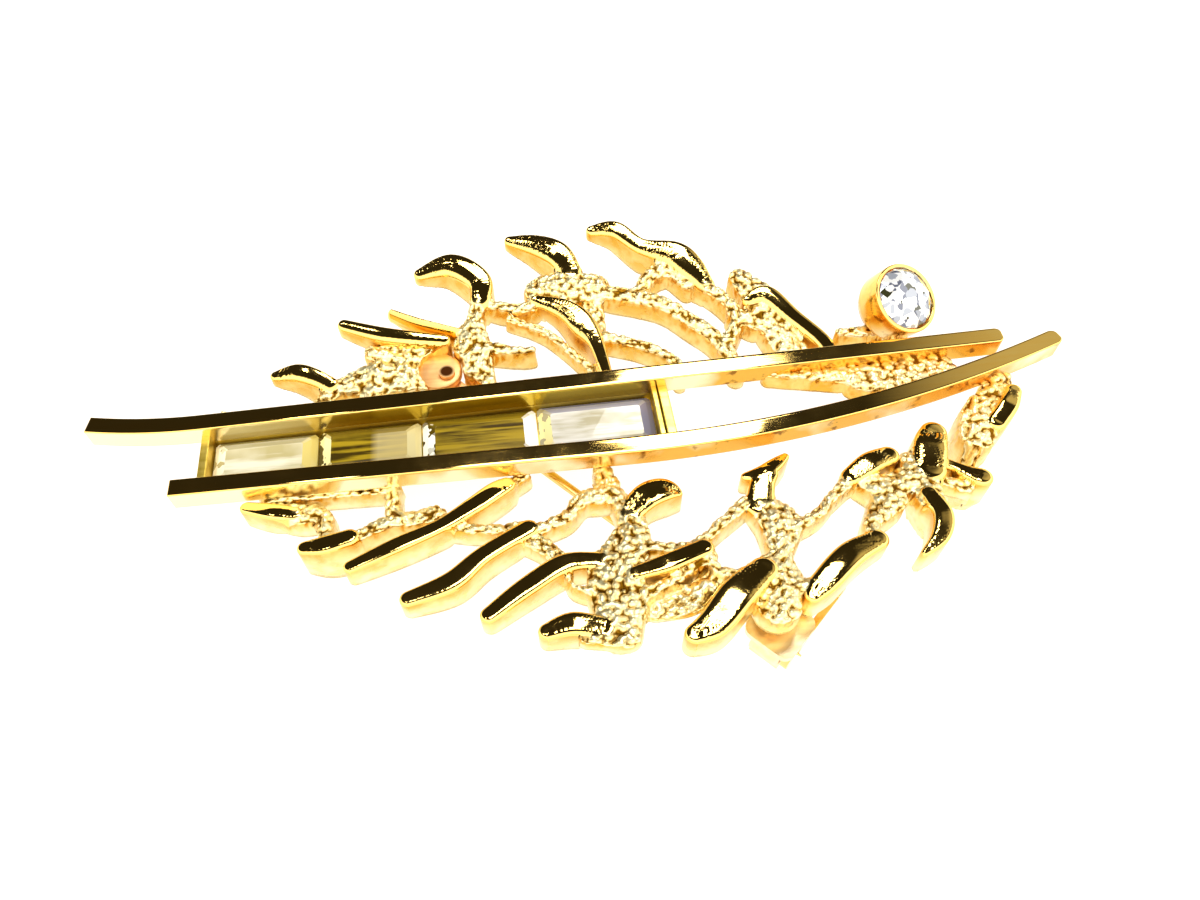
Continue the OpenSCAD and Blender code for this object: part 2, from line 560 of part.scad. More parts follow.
module pin_stem() {
    wire_l = pin_reach + past_catch - point_l;
    color(pale_gold) translate(plan_shift) at_hinge() {
        difference() {
            union() {
                rotate([90, 0, 0]) cylinder(r = eye_r, h = 2 * (cheek_in - 0.1), center = true, $fn = 32);
                rotate([0, 90, 0]) cylinder(d = wire_d, h = wire_l, $fn = 32);
            }
            rotate([90, 0, 0]) cylinder(r = rivet_d / 2 + run_gap, h = 3, center = true, $fn = 32);
        }
        translate([wire_l, 0, 0]) rotate([0, 90, 0])
            cylinder(d1 = wire_d, d2 = 0.12, h = point_l, $fn = 32);
    }
}

// Catch: a curled housing on a foot plate, open below, and a turning drum with a lever
housing_r = pin_z;
bore_r = 1.05;
slot_w = 0.96;
lip_w = 2.3;
neck_w = 1.8;
foot_plate = 3.62;
foot_corner_r = 0.75;
flange_r = 1.3;
flange_t = 0.5;
lever_w = 1.2;
end_gap = 0.1;

// Square foot plate with round corners
module catch_foot() {
    reach = foot_plate / 2 - foot_corner_r;
    translate([-foot_plate / 2, -reach, 0]) cube([foot_plate, 2 * reach, foot_plate_t]);
    translate([-reach, -foot_plate / 2, 0]) cube([2 * reach, foot_plate, foot_plate_t]);
    for (x = [-reach, reach], y = [-reach, reach])
        translate([x, y, 0]) cylinder(r = foot_corner_r, h = foot_plate_t, $fn = 32);
}

module catch_housing() {
    plate_z = catch_seat_z - pin_z - seat_gap;
    color(pale_gold) translate(plan_shift) at_catch() {
        difference() {
            union() {
                rotate([0, 90, 0]) cylinder(r = housing_r, h = catch_l, center = true, $fn = 48);
                translate([-catch_l / 2, -lip_w / 2, -pin_z]) cube([catch_l, lip_w, pin_z]);
                translate([-catch_l / 2, -neck_w / 2, 0]) cube([catch_l, neck_w, plate_z]);
            }
            rotate([0, 90, 0]) cylinder(r = bore_r, h = catch_l + 1, center = true, $fn = 48);
            translate([-catch_l, -slot_w / 2 - run_gap, -2 * pin_z])
                cube([2 * catch_l, slot_w + 2 * run_gap, 2 * pin_z]);
        }
        translate([0, 0, plate_z - foot_plate_t]) catch_foot();
        translate([catch_tenon_xy[X], catch_tenon_xy[Y], plate_z - foot_plate_t])
            cylinder(r = tenon_r, h = foot_plate_t + catch_tenon_h, $fn = 24);
    }
}

module catch_rotor() {
    drum_r = bore_r - run_gap;
    flange_x = catch_l / 2 + end_gap;
    color(pale_gold) translate(plan_shift) at_catch() difference() {
        union() {
            translate([-flange_x, 0, 0]) rotate([0, 90, 0])
                cylinder(r = drum_r, h = 2 * flange_x + flange_t, $fn = 48);
            translate([flange_x, 0, 0]) rotate([0, 90, 0]) cylinder(r = flange_r, h = flange_t, $fn = 48);
            translate([flange_x, 0, -lever_w / 4]) cube([flange_t, lever_l - lever_w / 2, lever_w / 2]);
            translate([flange_x, lever_l - lever_w / 2, 0]) rotate([0, 90, 0])
                cylinder(r = lever_w / 2, h = flange_t, $fn = 32);
        }
        rotate([0, 90, 0]) cylinder(d = slot_w, h = 2 * catch_l, center = true, $fn = 32);
        translate([-catch_l, -slot_w / 2, -2 * bore_r]) cube([2 * catch_l, slot_w, 2 * bore_r]);
    }
}

leaf_frame();
baguette(0, clear_stone);  // baguette_1
baguette(1, golden_stone);  // baguette_2
baguette(2, golden_stone);  // baguette_3
baguette(3, clear_stone);  // baguette_4
round_stone();
hinge_bracket();
hinge_rivet();
pin_stem();
catch_housing();
catch_rotor();
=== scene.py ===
"""Leaf brooch: cast gold leaf of polished fingers and nugget strands on two bars,
step-cut stones in a channel, a round stone in a leaning cup, a pin and its catch."""
import math

import bpy
import numpy as np
from mathutils import Matrix, Vector


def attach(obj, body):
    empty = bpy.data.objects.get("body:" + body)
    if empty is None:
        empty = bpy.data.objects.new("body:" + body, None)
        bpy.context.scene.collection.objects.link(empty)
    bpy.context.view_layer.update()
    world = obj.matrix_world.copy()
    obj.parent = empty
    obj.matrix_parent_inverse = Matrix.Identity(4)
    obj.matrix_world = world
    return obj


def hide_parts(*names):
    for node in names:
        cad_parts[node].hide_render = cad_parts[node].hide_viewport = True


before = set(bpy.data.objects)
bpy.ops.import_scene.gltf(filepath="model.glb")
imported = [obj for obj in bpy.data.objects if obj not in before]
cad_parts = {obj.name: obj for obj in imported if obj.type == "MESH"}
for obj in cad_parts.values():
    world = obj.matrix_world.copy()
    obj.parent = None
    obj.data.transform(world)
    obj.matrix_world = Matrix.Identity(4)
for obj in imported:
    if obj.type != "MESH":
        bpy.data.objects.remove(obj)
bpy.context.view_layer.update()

MM = 0.001
# From the plan that the leaf is drawn in to the frame, in millimetres
PLAN_SHIFT = np.array([0.0, -3.1, 0.0])

# Bars and leaf, the same values as the part's source, in millimetres
BAR_TOP = 5.7
BAR_W = 1.35
BAR_H = 1.65
BAR_EDGE = 0.1
BAR_STEPS = 80
# Ends of the bars along x, and the radii of the corners there in plan
UPPER_ENDS, UPPER_CORNERS = (-35.85, 31.55), (0, 0.5)
LOWER_ENDS, LOWER_CORNERS = (-29.4, 35.8), (0, 0.55)
# Centre lines: y and slope of the upper bar at the bend near its left end, y of the level part
# of the lower bar, and the bends as x squared over y
UPPER_Y, UPPER_SLOPE, UPPER_BEND_X, UPPER_BEND = 5.6, 1.5 / 59, -28, 70
LOWER_Y, LOWER_BEND_X, LOWER_BEND = 0.25, 2, 180
# Leaf's face: its height at the bars, its slope away from them, and where that begins
LEAF_Z = BAR_TOP - 1.4
CUP_SLOPE = 0.16
UPPER_EDGE_Y = 7.1
LOWER_EDGE_Y = -0.5
# Round at the rims, widest half width that the crowns grow with, and least thickness
RIM_R = 0.2
WIDE_CROWN = 0.9
THINNEST = 0.4
# Step of the net, rings of a wall, and steps of a stroke's curve between two rows
NET_STEP = 0.1
WALL_RINGS = 6
SPANS = 12
# Distances over which the slopes of the field and the fall of the crown at its rim are taken
SLOPE_STEP = 0.03
FALL_STEP = 0.04
# Opening round the hinge's seat, as x, y and radius in the plan, and the tenon's place in the frame
SEAT_OPENING = (-11.0, 9.7, 1.6)
SEAT_TENON = (-10.6, 6.3, 0)

# Stroke tables: x, y, half width, lift of the crown above the cup
UPPER_FINGERS = [
    [[-23.3, 10.1, 0.4, 0], [-21.7, 10.1, 0.7, 0.3], [-20.4, 9.6, 0.7, 0.3], [-19.2, 8.9, 0.6, 0.1]],
    [[-18.2, 13.9, 0.5, 0.2], [-15, 12.7, 0.6, 0.3], [-10.6, 11.8, 0.45, 0.2]],
    [[-12.3, 18.2, 0.5, 0], [-9.8, 18.6, 1, 0.4], [-7.7, 17, 1, 0.35],
     [-7.7, 15.2, 0.75, 0.1]],
    [[-5, 20.7, 0.45, 0], [-3, 20, 0.9, 0.3], [-1.3, 18.9, 1.1, 0.4], [-0.4, 17.3, 0.9, 0.1]],
    [[-3.4, 14.8, 0.4, 0.1], [-1.2, 13.6, 0.85, 0.4], [0, 12.1, 1, 0.5], [0.9, 10.2, 0.6, 0.4],
     [1.6, 6.6, 0.4, 0]],
    [[1.7, 21.1, 0.45, 0], [3.6, 20.84, 0.75, 0.3], [5.5, 19.1, 0.7, 0.2], [8.1, 18, 1.1, 0.4],
     [9.2, 16.7, 1.1, 0.3], [10.2, 15.1, 0.65, 0]],
    [[13.2, 13.1, 0.4, 0.2], [14.7, 13.3, 0.75, 0.5], [16.4, 11.2, 0.65, 0.4], [18.2, 9.1, 0.65, 0.2],
     [19, 7.5, 0.6, 0]],
]
UPPER_FINS = [
    [[-14.6, 15, 0.4, 0], [-12.5, 13.9, 0.5, 0.1], [-9.6, 12.8, 0.5, 0]],
]
UPPER_WEBS = [
    [[-27, 7.4, 0.35, 0], [-24.5, 6.4, 0.6, 0]],
    [[-20.4, 6.4, 0.8, -0.2], [-19.2, 8.6, 0.7, -0.1], [-16, 9.4, 1.3, 0], [-12.4, 9.2, 1.2, -0.1]],
    [[-16.4, 6.4, 1, -0.2], [-15.8, 9.6, 1.3, 0.1]],
    [[-16.2, 11.7, 0.7, -0.2], [-14, 11, 1, -0.3], [-11.4, 11, 0.8, -0.3]],
    [[-7.9, 15.2, 0.65, 0.1], [-8.2, 14, 0.7, 0], [-8.5, 12.6, 1.1, 0]],
    [[-4, 10.5, 0.35, 0], [-5, 10.6, 0.45, 0], [-7.4, 11.2, 0.6, 0]],
    [[-8.5, 12.3, 1.3, 0], [-8.6, 10.6, 1.5, 0], [-7.6, 8.5, 0.7, -0.1], [-7.3, 6.2, 0.7, -0.2]],
    [[-7.2, 15.2, 0.5, -0.1], [-5.2, 14.5, 0.5, -0.1], [-3, 14.8, 0.6, -0.1]],
    [[-3.1, 16, 1.2, 0], [-1, 16, 1.7, 0.1], [1.4, 15.9, 1.3, 0]],
    [[-5.6, 13.9, 0.35, -0.6], [-2.6, 12.2, 0.4, -0.6], [0.8, 8.2, 0.4, -0.5]],
    [[1.1, 15, 0.9, -0.5], [1.1, 11.4, 0.8, -0.5]],
    [[1.7, 11.2, 0.5, -0.1], [4.3, 10.3, 0.5, -0.1], [6.6, 8.8, 0.5, -0.1], [7, 7.3, 0.5, -0.1]],
    [[2, 15.4, 0.7, 0], [6.3, 13.9, 0.7, 0], [8.5, 12, 0.7, 0], [10.4, 10, 0.7, 0], [11.4, 7.45, 0.7, -0.1]],
    [[4.6, 14.9, 0.6, -0.1], [6, 16.6, 0.7, -0.1], [7.6, 17.2, 0.9, -0.1], [8.8, 15.6, 0.7, -0.1]],
    [[10, 15.2, 0.6, 0], [11.4, 13.8, 0.6, 0], [12.2, 12, 0.6, 0], [11.2, 10, 0.6, 0]],
    [[13, 15.7, 0.9, 0], [14, 14, 1.4, 0.1], [14.9, 12.2, 1.7, 0.1], [15.8, 9, 1.4, 0],
     [16.1, 7.8, 1.1, -0.1]],
    [[12, 12.3, 0.6, 0], [13.6, 11.6, 0.9, 0]],
    [[20, 9.8, 0.5, -0.1], [22, 9.7, 0.6, 0], [23.8, 10.3, 1.2, 0.1], [24.2, 7.7, 1, 0]],
]
LOWER_FINGERS = [
    [[-24.4, -1.1, 0.5, 0.15], [-22.8, -1.6, 0.65, 0.2], [-21.2, -1.9, 0.6, 0]],
    [[-17, -6.9, 0.5, 0.1], [-14, -5.6, 0.65, 0.3], [-11.2, -4.3, 0.6, 0.2], [-9, -2.9, 0.75, 0.3],
     [-7.5, -1.8, 0.8, 0.3], [-6.7, -1.3, 0.65, 0.2]],
    [[-13.2, -9.8, 0.6, 0.1], [-10.5, -8.9, 0.8, 0.3], [-8.4, -7.1, 0.7, 0.3], [-5.4, -5.2, 0.7, 0.1]],
    [[-8.2, -11.6, 0.6, 0.1], [-5.8, -9.9, 0.75, 0.3], [-3.2, -8.4, 0.75, 0.3], [-0.8, -8.3, 0.6, 0]],
    [[1.6, -4.6, 0.8, 0], [2.8, -3.5, 1.1, 0.3], [4, -3.1, 1, 0.3], [5, -3.4, 0.35, 0]],
    [[-4.7, -13.2, 0.6, 0.1], [-3.1, -12.9, 0.85, 0.3], [-1.2, -13.3, 0.7, 0]],
    [[1.3, -9.6, 0.5, 0.1], [3.2, -9.2, 0.7, 0.3], [5.9, -8.2, 0.65, 0.15]],
    [[9.4, -10.3, 0.9, 0.15], [7.4, -11.9, 1.15, 0.4], [5.5, -13.8, 1.05, 0.25], [4.2, -14.4, 0.7, 0]],
    [[10.4, -5, 1, 0], [10.9, -3.4, 0.9, 0.2], [11.5, -2.6, 0.7, 0.3]],
    [[9.9, -2.6, 0.35, 0.1], [11.2, -2.4, 0.6, 0.25], [12.2, -1.8, 0.55, 0.25], [13.1, -1.1, 0.3, 0.1]],
    [[17.3, -8.9, 0.75, 0.1], [15.2, -9.9, 0.95, 0.3], [13.1, -11.6, 0.9, 0.2], [12, -12.6, 0.55, 0]],
    [[17.2, -3.4, 0.7, 0.1], [18.8, -2.5, 0.9, 0.4], [20.3, -1.9, 0.8, 0.2]],
    [[22.9, -3.4, 1.1, 0.1], [23.5, -1.5, 1.2, 0.4], [24.2, -0.3, 1, 0.25]],
    [[31.2, 2.6, 0.6, 0.4], [30.3, 1.3, 0.7, 0.6], [29.1, 0.1, 0.7, 0.3]],
    [[22, -5.6, 0.6, 0.1], [22.2, -7.5, 0.7, 0.3], [21.4, -9.2, 0.6, 0.2], [19.9, -10.4, 0.25, 0]],
    [[26.4, -4.3, 0.8, -0.4], [25.8, -3.8, 0.6, -0.5], [25, -3, 0.4, -0.6], [24, -2.3, 0.4, -0.6]],
]
TALL_FINGERS = [
    [[-20.1, -5, 0.55, 0.1], [-18.8, -5, 0.75, 0.3], [-17.3, -4.6, 0.7, 0.3]],
]
TALL_WEBS = [
    [[-17.2, -4.6, 0.55, 0.1], [-15.5, -3.7, 0.6, 0.1], [-14, -3, 0.7, 0]],
    [[22, -5.4, 0.55, 0], [22.25, -7, 0.45, 0]],
]
LOWER_WEBS = [
    [[-23.4, -0.1, 0.55, -0.2], [-19, -0.2, 0.5, -0.2], [-14.6, -0.2, 0.6, -0.2]],
    [[-6.9, -1.3, 0.5, 0], [-5.4, -0.2, 0.5, -0.2]],
    [[-23, -1.2, 0.7, -0.1], [-21, -1.8, 1, 0], [-19.4, -2.2, 0.8, 0], [-18.9, -4.2, 0.5, 0]],
    [[-14.6, -0.4, 0.5, -0.1], [-14.2, -3, 0.7, 0], [-11.6, -2.9, 0.8, 0]],
    [[-10.6, -4.2, 0.5, -0.1], [-8.5, -4.7, 0.5, -0.1], [-5.8, -4.8, 0.6, -0.1]],
    [[-6, -5.6, 0.6, -0.1], [-4.4, -6.6, 0.7, -0.1], [-3.4, -8, 0.6, -0.1]],
    [[-5.4, -5.3, 0.6, 0], [-3, -4.5, 0.6, 0], [-1.6, -3, 0.7, 0], [0.2, -2.4, 1, 0.1], [0.1, 0, 0.7, -0.2]],
    [[0.8, -2.8, 0.7, 0], [1.5, -5, 1, 0], [1.2, -7, 1.5, 0.1], [0, -9, 1.8, 0.1], [-0.1, -11, 1.9, 0.1],
     [-0.2, -13.1, 1.5, 0]],
    [[-3.1, -9, 0.3, -0.2], [-2.8, -10, 0.3, -0.1], [-1.6, -10.6, 0.4, -0.1]],
    [[1.4, -11, 0.7, -0.1], [3, -10.5, 0.5, -0.1], [6.3, -8.7, 0.5, -0.1]],
    [[2, -7.3, 0.5, 0], [5, -7.9, 0.5, 0], [7.4, -6.3, 0.5, 0], [9.4, -4.7, 0.6, 0]],
    [[6.2, -8.4, 0.4, 0], [6.4, -9.7, 0.4, 0], [7.8, -10.3, 0.45, 0], [10.2, -9.4, 0.6, 0]],
    [[10.4, -4.9, 1, 0], [11.4, -6.6, 1.5, 0.1], [10.8, -9.2, 0.9, 0], [10.5, -11, 1.4, 0],
     [9.8, -12.8, 1.5, -0.1]],
    [[12, -7.2, 0.6, 0], [14, -6.3, 0.5, 0], [15.5, -4.9, 0.5, 0], [17.2, -3.5, 0.6, 0]],
    [[18, -3.6, 0.9, 0], [19.4, -5.2, 1.3, 0.1], [17.4, -7.6, 0.6, 0], [17.2, -8.9, 0.6, 0]],
    [[19.4, -4.6, 1.2, 0], [21.8, -4, 1.2, 0], [22.2, -6, 1.1, 0]],
    [[22, -2.35, 1, 0], [21.9, -4, 1.1, 0.05]],
    [[10.6, -11.7, 0.7, 0], [12.6, -11.8, 0.6, 0]],
    [[31, 4.5, 1, 0.1], [30, 2.6, 1.4, 0.2], [28.4, 1.1, 1.5, 0.2], [27.6, -0.6, 1.3, 0]],
    [[23.4, -4, 0.5, -0.4], [25.3, -4.7, 0.6, -0.9]],
    [[24, -2.3, 0.5, -0.6], [25.6, -3.2, 0.5, -0.8]],
]
FOOT_WALLS = [
    [[27.8, 0.4, 1.2, -0.15], [27.3, -0.5, 1.1, -0.25]],
    [[27.2, -0.9, 0.7, -3.4], [26.2, -3.7, 0.6, -3.4]],
    [[26.3, -3.9, 0.7, -1.3], [25.3, -3.5, 0.6, -1.3]],
]
LOW_WEBS = [
    [[-2.4, -13.9, 0.5, 0], [0.2, -14.1, 0.8, 0]],
    [[2.2, -11.8, 1, -0.9], [4.6, -11.4, 1.1, -0.9], [6.6, -10, 0.7, -0.7]],
]
TIP_WEBS = [
    [[13.6, 6.35, 0.6, 0.6], [16.4, 5.75, 0.6, 0.6], [20, 5.5, 1.1, 0.6], [23.6, 5, 1.5, 0.6],
     [26.2, 5.2, 1.6, 0.6]],
    [[19.8, 4.8, 0.9, 0.6], [22.4, 3.9, 1, 0.6]],
]
# Crowns of polished fingers, sharp fins and nugget strands, as shares of the half width
FINGER_CROWN = 0.25
FIN_CROWN = 1.3
WEB_CROWN = 0.4
# Slope of the front half of the upper fingers' tops, and the share of the full depth at a tip
UPPER_LEAN = 0.16
UPPER_TIP = 0.4
LOWER_TIP = 0.8
# How far the walls of the upper half turn pale towards the foot, as a painted reflection of the white floor
UPPER_FLOOR_REFLECTION = 0.35
# Beads and lumps of the nugget skin
BEAD = 0.46
BEAD_DEPTH = 0.2
LUMP = 1.1
LUMP_DEPTH = 0.1
# Depths of the strokes, from the leaf's face down
WEB_DEPTH = 2.1
FINGER_DEPTH = 2.4
TALL_DEPTH = 3.9
THIN_DEPTH = 1.0
FOOT_DEPTH = 8.0
# Wall mark, which the colour of the walls follows, at their top, and both marks of the underside;
# the mark sets painted shade near the walls' top and a painted reflection of the white floor lower down
WALL_TOP = 0.3
UNDERSIDE = 0.6

# Channel of the stones, and its end wall and strips: their ends and how far they reach into the bars
CHANNEL = {"left": -28.0, "right": 5.7, "plate_top": 2.99, "plate_t": 0.35, "wall": 0.4, "overlap": 0.2,
           "steps": 12}
STRIPS = {"end_wall_left": (-28.0, -27.4, 0.1), "end_strip_1": (4.5, 4.9, 0.2),
          "end_strip_2": (5.0, 5.7, 0.2)}
STRIP_TOP = BAR_TOP - 0.9

# Round stone's cup and the hinge's seat
CUP_CENTRE = (24.65, 10.3, BAR_TOP + 1.4)
CUP_TURN = -50
CUP_LEAN = 30
SEAT_CENTRE = (-11.2, 9.8, 0)

# Soft panels: centre, width and length in metres, and turn about the vertical in degrees
PANELS = {
    "main_panel": ((0.059, 0.186, 0.256), (0.061, 0.064), -30),
    "front_panel": ((0.022, 0.12, 0.256), (0.112, 0.068), 0),
    "left_panel": ((-0.082, 0.11, 0.256), (0.022, 0.032), 0),
}
PANEL_RADIANCE = 10
# Dark card and dim window in the room: direction, cosines of the angles at which each begins
# and is full, and colour
CARD = ((-0.063, 0.622, 0.78), (0.6, 0.74), (0.026, 0.022, 0.014))
WINDOW = ((0.568, 0.516, 0.64), (0.963, 0.995), (0.56, 0.52, 0.4))

# Camera: place and direction in the frame, lens and sensor in millimetres
CAMERA_PLACE = (-0.004088, -0.038982, 0.059242)
CAMERA_WAY = (0.0633, 0.5556, -0.8290)
LENS = 27.9
SENSOR = 36


def upper_y(x):
    """Centre line of the upper bar: a straight line that curls up past its bend."""
    past = x - UPPER_BEND_X
    return UPPER_Y + UPPER_SLOPE * past + np.where(past < 0, past ** 2 / UPPER_BEND, 0)


def lower_y(x):
    """Centre line of the lower bar: level, then a long bend up to the tip."""
    past = x - LOWER_BEND_X
    return LOWER_Y + np.where(past > 0, past ** 2 / LOWER_BEND, 0)


def cup_z(y):
    """Height of the leaf's face, which rises away from the bars."""
    return LEAF_Z + CUP_SLOPE * np.maximum(0, np.maximum(y - UPPER_EDGE_Y, LOWER_EDGE_Y - y))


def smooth_rows(rows):
    """Rows on the cubic curve through the given rows, SPANS steps between each two."""
    rows = np.array(rows, float)
    padded = np.vstack([rows[:1], rows, rows[-1:]])
    t = (np.arange(SPANS) / SPANS)[None, :, None]
    a, b, c, d = (padded[k:len(padded) - 3 + k, None] for k in range(4))
    curve = 0.5 * (2 * b + (c - a) * t + (2 * a - 5 * b + 4 * c - d) * t ** 2
                   + (3 * b - a - 3 * c + d) * t ** 3)
    return np.vstack([curve.reshape(-1, rows.shape[1]), rows[-1:]])


def strokes(table, depth, crown, polish, power=2, tip_share=1, lean=0, pale=1):
    """One record per stroke: its smoothed rows with their depth, its crown and the power that
    the crown falls by, its polish, the slope by which the front half of its top leans, and
    how pale its walls get, as a painted reflection of the white floor. The depth grows from a
    share of the full one at the free tip over the first two rows."""
    made = []
    for rows in table:
        rows = smooth_rows(rows)
        share = np.minimum(1, tip_share + (1 - tip_share) * np.arange(len(rows)) / (2 * SPANS))
        made.append({"rows": np.column_stack([rows, depth * share]), "crown": crown, "power": power,
                     "polish": polish, "lean": lean, "pale": pale})
    return made


def stroke_field(stroke, x, y):
    """Signed distance to a stroke's outline, the least over its spans, and the lift, depth and
    half width there, the share across, and how far behind its centre line a point is."""
    edge = np.full(x.size, np.inf)
    found = np.zeros((5, x.size))
    for one, two in zip(stroke["rows"][:-1], stroke["rows"][1:]):
        run = two[:2] - one[:2]
        t = np.clip(((x - one[0]) * run[0] + (y - one[1]) * run[1]) / max(run @ run, 1e-9), 0, 1)
        half = one[2] + t * (two[2] - one[2])
        dist = np.hypot(x - one[0] - t * run[0], y - one[1] - t * run[1])
        nearer = dist - half < edge
        edge = np.where(nearer, dist - half, edge)
        found = np.where(nearer, [one[3] + t * (two[3] - one[3]), one[4] + t * (two[4] - one[4]), half,
                                  dist / half, y - one[1] - t * run[1]], found)
    return edge, *found


def leaf_field(parts, x, y, hole=None, blend=0.12, step_blend=0.05, steep=3.5, reach=1.3):
    """Edge, top, base, polish and paleness of all strokes at the points x, y; the paleness is the
    strength of the painted floor reflection on the walls. The edge is the soft least of the
    distances to their outlines, less a round hole, and the top the soft most of their crowns;
    each crown falls by a power of the share across, and steeply outside."""
    inside = np.zeros(x.size)
    weight = np.full(x.size, 1e-60)
    marks = np.zeros((2, x.size))
    base = np.full(x.size, np.inf)
    for part in parts:
        wide = part["rows"][:, 2].max() + reach
        low, high = part["rows"][:, :2].min(0) - wide, part["rows"][:, :2].max(0) + wide
        near = np.flatnonzero((x > low[0]) & (x < high[0]) & (y > low[1]) & (y < high[1]))
        if not near.size:
            continue
        edge, lift, deep, half, across, behind = stroke_field(part, x[near], y[near])
        outside = steep * np.maximum(edge, 0)
        face = cup_z(y[near])
        fall = part["crown"] * np.minimum(half, WIDE_CROWN)
        top = face + lift - fall * np.minimum(across, 1) ** part["power"] - outside
        top += part["lean"] * np.clip(behind, -half, 0)
        inside[near] += np.exp(-np.clip(edge, -5, 5) / blend)
        share = np.exp(np.clip(top - LEAF_Z, -6, 6) / step_blend)
        weight[near] += share
        marks[:, near] += share * np.array([[part["polish"]], [part["pale"]]])
        floor = np.maximum(face - deep, 0) + outside
        base[near] = np.minimum(base[near], floor)
    edge = -blend * np.log(inside + 1e-12)
    if hole:
        edge = np.maximum(edge, hole[2] - np.hypot(x - hole[0], y - hole[1]))
    top = LEAF_Z + step_blend * np.log(weight)
    polish, pale = marks / weight
    return {"edge": edge, "top": top, "base": np.minimum(base, top - THINNEST), "polish": polish,
            "pale": pale}


def cell_points(xs, ys, d):
    """One point for each cell of the grid: the mean of the places where d crosses zero on
    the cell's sides, or its middle."""
    inside = d < 0
    step = xs[1] - xs[0]
    first, last = slice(None, -1), slice(1, None)
    total = np.zeros((3, len(xs) - 1, len(ys) - 1))
    with np.errstate(all="ignore"):
        cut = inside[first] != inside[last]
        at = np.where(cut, xs[first, None] + d[first] / (d[first] - d[last]) * step, 0)
        crossings = np.array([cut * at, cut * ys[None], cut])
        total += crossings[:, :, first]
        total += crossings[:, :, last]
        cut = inside[:, first] != inside[:, last]
        at = np.where(cut, ys[None, first] + d[:, first] / (d[:, first] - d[:, last]) * step, 0)
        crossings = np.array([cut * xs[:, None], cut * at, cut])
        total += crossings[:, first]
        total += crossings[:, last]
    middle = np.array(np.meshgrid(xs[:-1] + step / 2, ys[:-1] + step / 2, indexing="ij"))
    return np.where(total[2] > 0, total[:2] / np.maximum(total[2], 1), middle)


def outline_net(xs, ys, d):
    """Flat net of the area where d is below zero, with a point in each cell that touches
    it: each grid point inside gets one quad, and each side between inside and outside one
    rim edge."""
    inside = d < 0
    used = inside[:-1, :-1] | inside[1:, :-1] | inside[:-1, 1:] | inside[1:, 1:]
    number = np.cumsum(used).reshape(used.shape) - 1
    i, j = np.nonzero(inside[1:-1, 1:-1])
    quads = np.stack([number[i, j], number[i + 1, j], number[i + 1, j + 1], number[i, j + 1]], 1)
    rim = []
    for side, (di, dj) in enumerate([(0, -1), (1, 0), (0, 1), (-1, 0)]):
        bare = ~inside[i + 1 + di, j + 1 + dj]
        rim.append(np.stack([quads[bare, side], quads[bare, (side + 1) % 4]], 1))
    return cell_points(xs, ys, d)[:, used].T, quads, np.vstack(rim)


def vertex_normals(points, quads):
    """Mean of the normals of the faces round each point."""
    diagonal_a = points[quads[:, 2]] - points[quads[:, 0]]
    diagonal_b = points[quads[:, 3]] - points[quads[:, 1]]
    normal = np.cross(diagonal_a, diagonal_b)
    total = np.stack([np.bincount(quads.ravel(), np.repeat(normal[:, k], 4), len(points))
                      for k in range(3)], 1)
    return total / np.maximum(np.linalg.norm(total, axis=1, keepdims=True), 1e-12)


def nuggets(points, size, seed, count=32, jitter=0.85):
    """Height of packed beads, 0 in the creases to 1 on top: the height of a sphere at the
    distance to the nearest centre of a jittered lattice, in bead sizes."""
    lattice = np.random.default_rng(seed).random((count, count, count, 3))
    cell = np.floor(points / size).astype(int)
    nearest = np.full(len(points), np.inf)
    for shift in np.ndindex(3, 3, 3):
        at = cell + np.array(shift) - 1
        centre = at + 0.5 + jitter * (lattice[tuple((at % count).T)] - 0.5)
        nearest = np.minimum(nearest, ((points / size - centre) ** 2).sum(1))
    return np.sqrt(1 - np.clip(nearest * 2.1, 0, 1))


def add_mesh(name, points, faces, material, normals=None, **marks):
    """Gold piece of the leaf's frame from points in millimetres of the plan, with one named
    value per point and the normals that it shades with."""
    mesh = bpy.data.meshes.new(name)
    mesh.from_pydata((points + PLAN_SHIFT) * MM, [], faces)
    mesh.update()
    for mark, values in marks.items():
        mesh.attributes.new(mark, "FLOAT", "POINT").data.foreach_set("value", values.astype(np.float32))
    mesh.polygons.foreach_set("use_smooth", np.ones(len(mesh.polygons), bool))
    if normals is not None:
        mesh.normals_split_custom_set_from_vertices(normals)
    mesh.materials.append(material)
    piece = bpy.data.objects.new(name, mesh)
    bpy.context.scene.collection.objects.link(piece)
    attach(piece, "frame")
    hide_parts("leaf_frame")


def differences(parts, flat, value, hole=None):
    """Change of a value of the field from SLOPE_STEP before to SLOPE_STEP behind each point,
    along x and along y."""
    return [leaf_field(parts, *(flat + shift).T, hole)[value]
            - leaf_field(parts, *(flat - shift).T, hole)[value] for shift in np.eye(2) * SLOPE_STEP]


def top_normals(parts, flat):
    """Normals of the crowns at the given points, from the slopes of the top."""
    slope_x, slope_y = np.stack(differences(parts, flat, "top")) / (2 * SLOPE_STEP)
    normal = np.column_stack([-slope_x, -slope_y, np.ones(len(flat))])
    return normal / np.linalg.norm(normal, axis=1, keepdims=True)


def relief_net(parts, hole):
    """Net of the strokes' outline, drawn in by the radius of the round at its rim."""
    rows = np.vstack([part["rows"] for part in parts])
    margin = 2
    low, high = rows[:, :2].min(0) - margin, rows[:, :2].max(0) + margin
    xs, ys = (np.arange(low[k], high[k], NET_STEP) for k in range(2))
    grid = np.array(np.meshgrid(xs, ys, indexing="ij"))
    edge = leaf_field(parts, *grid.reshape(2, -1), hole)["edge"].reshape(grid.shape[1:])
    return outline_net(xs, ys, edge + RIM_R)


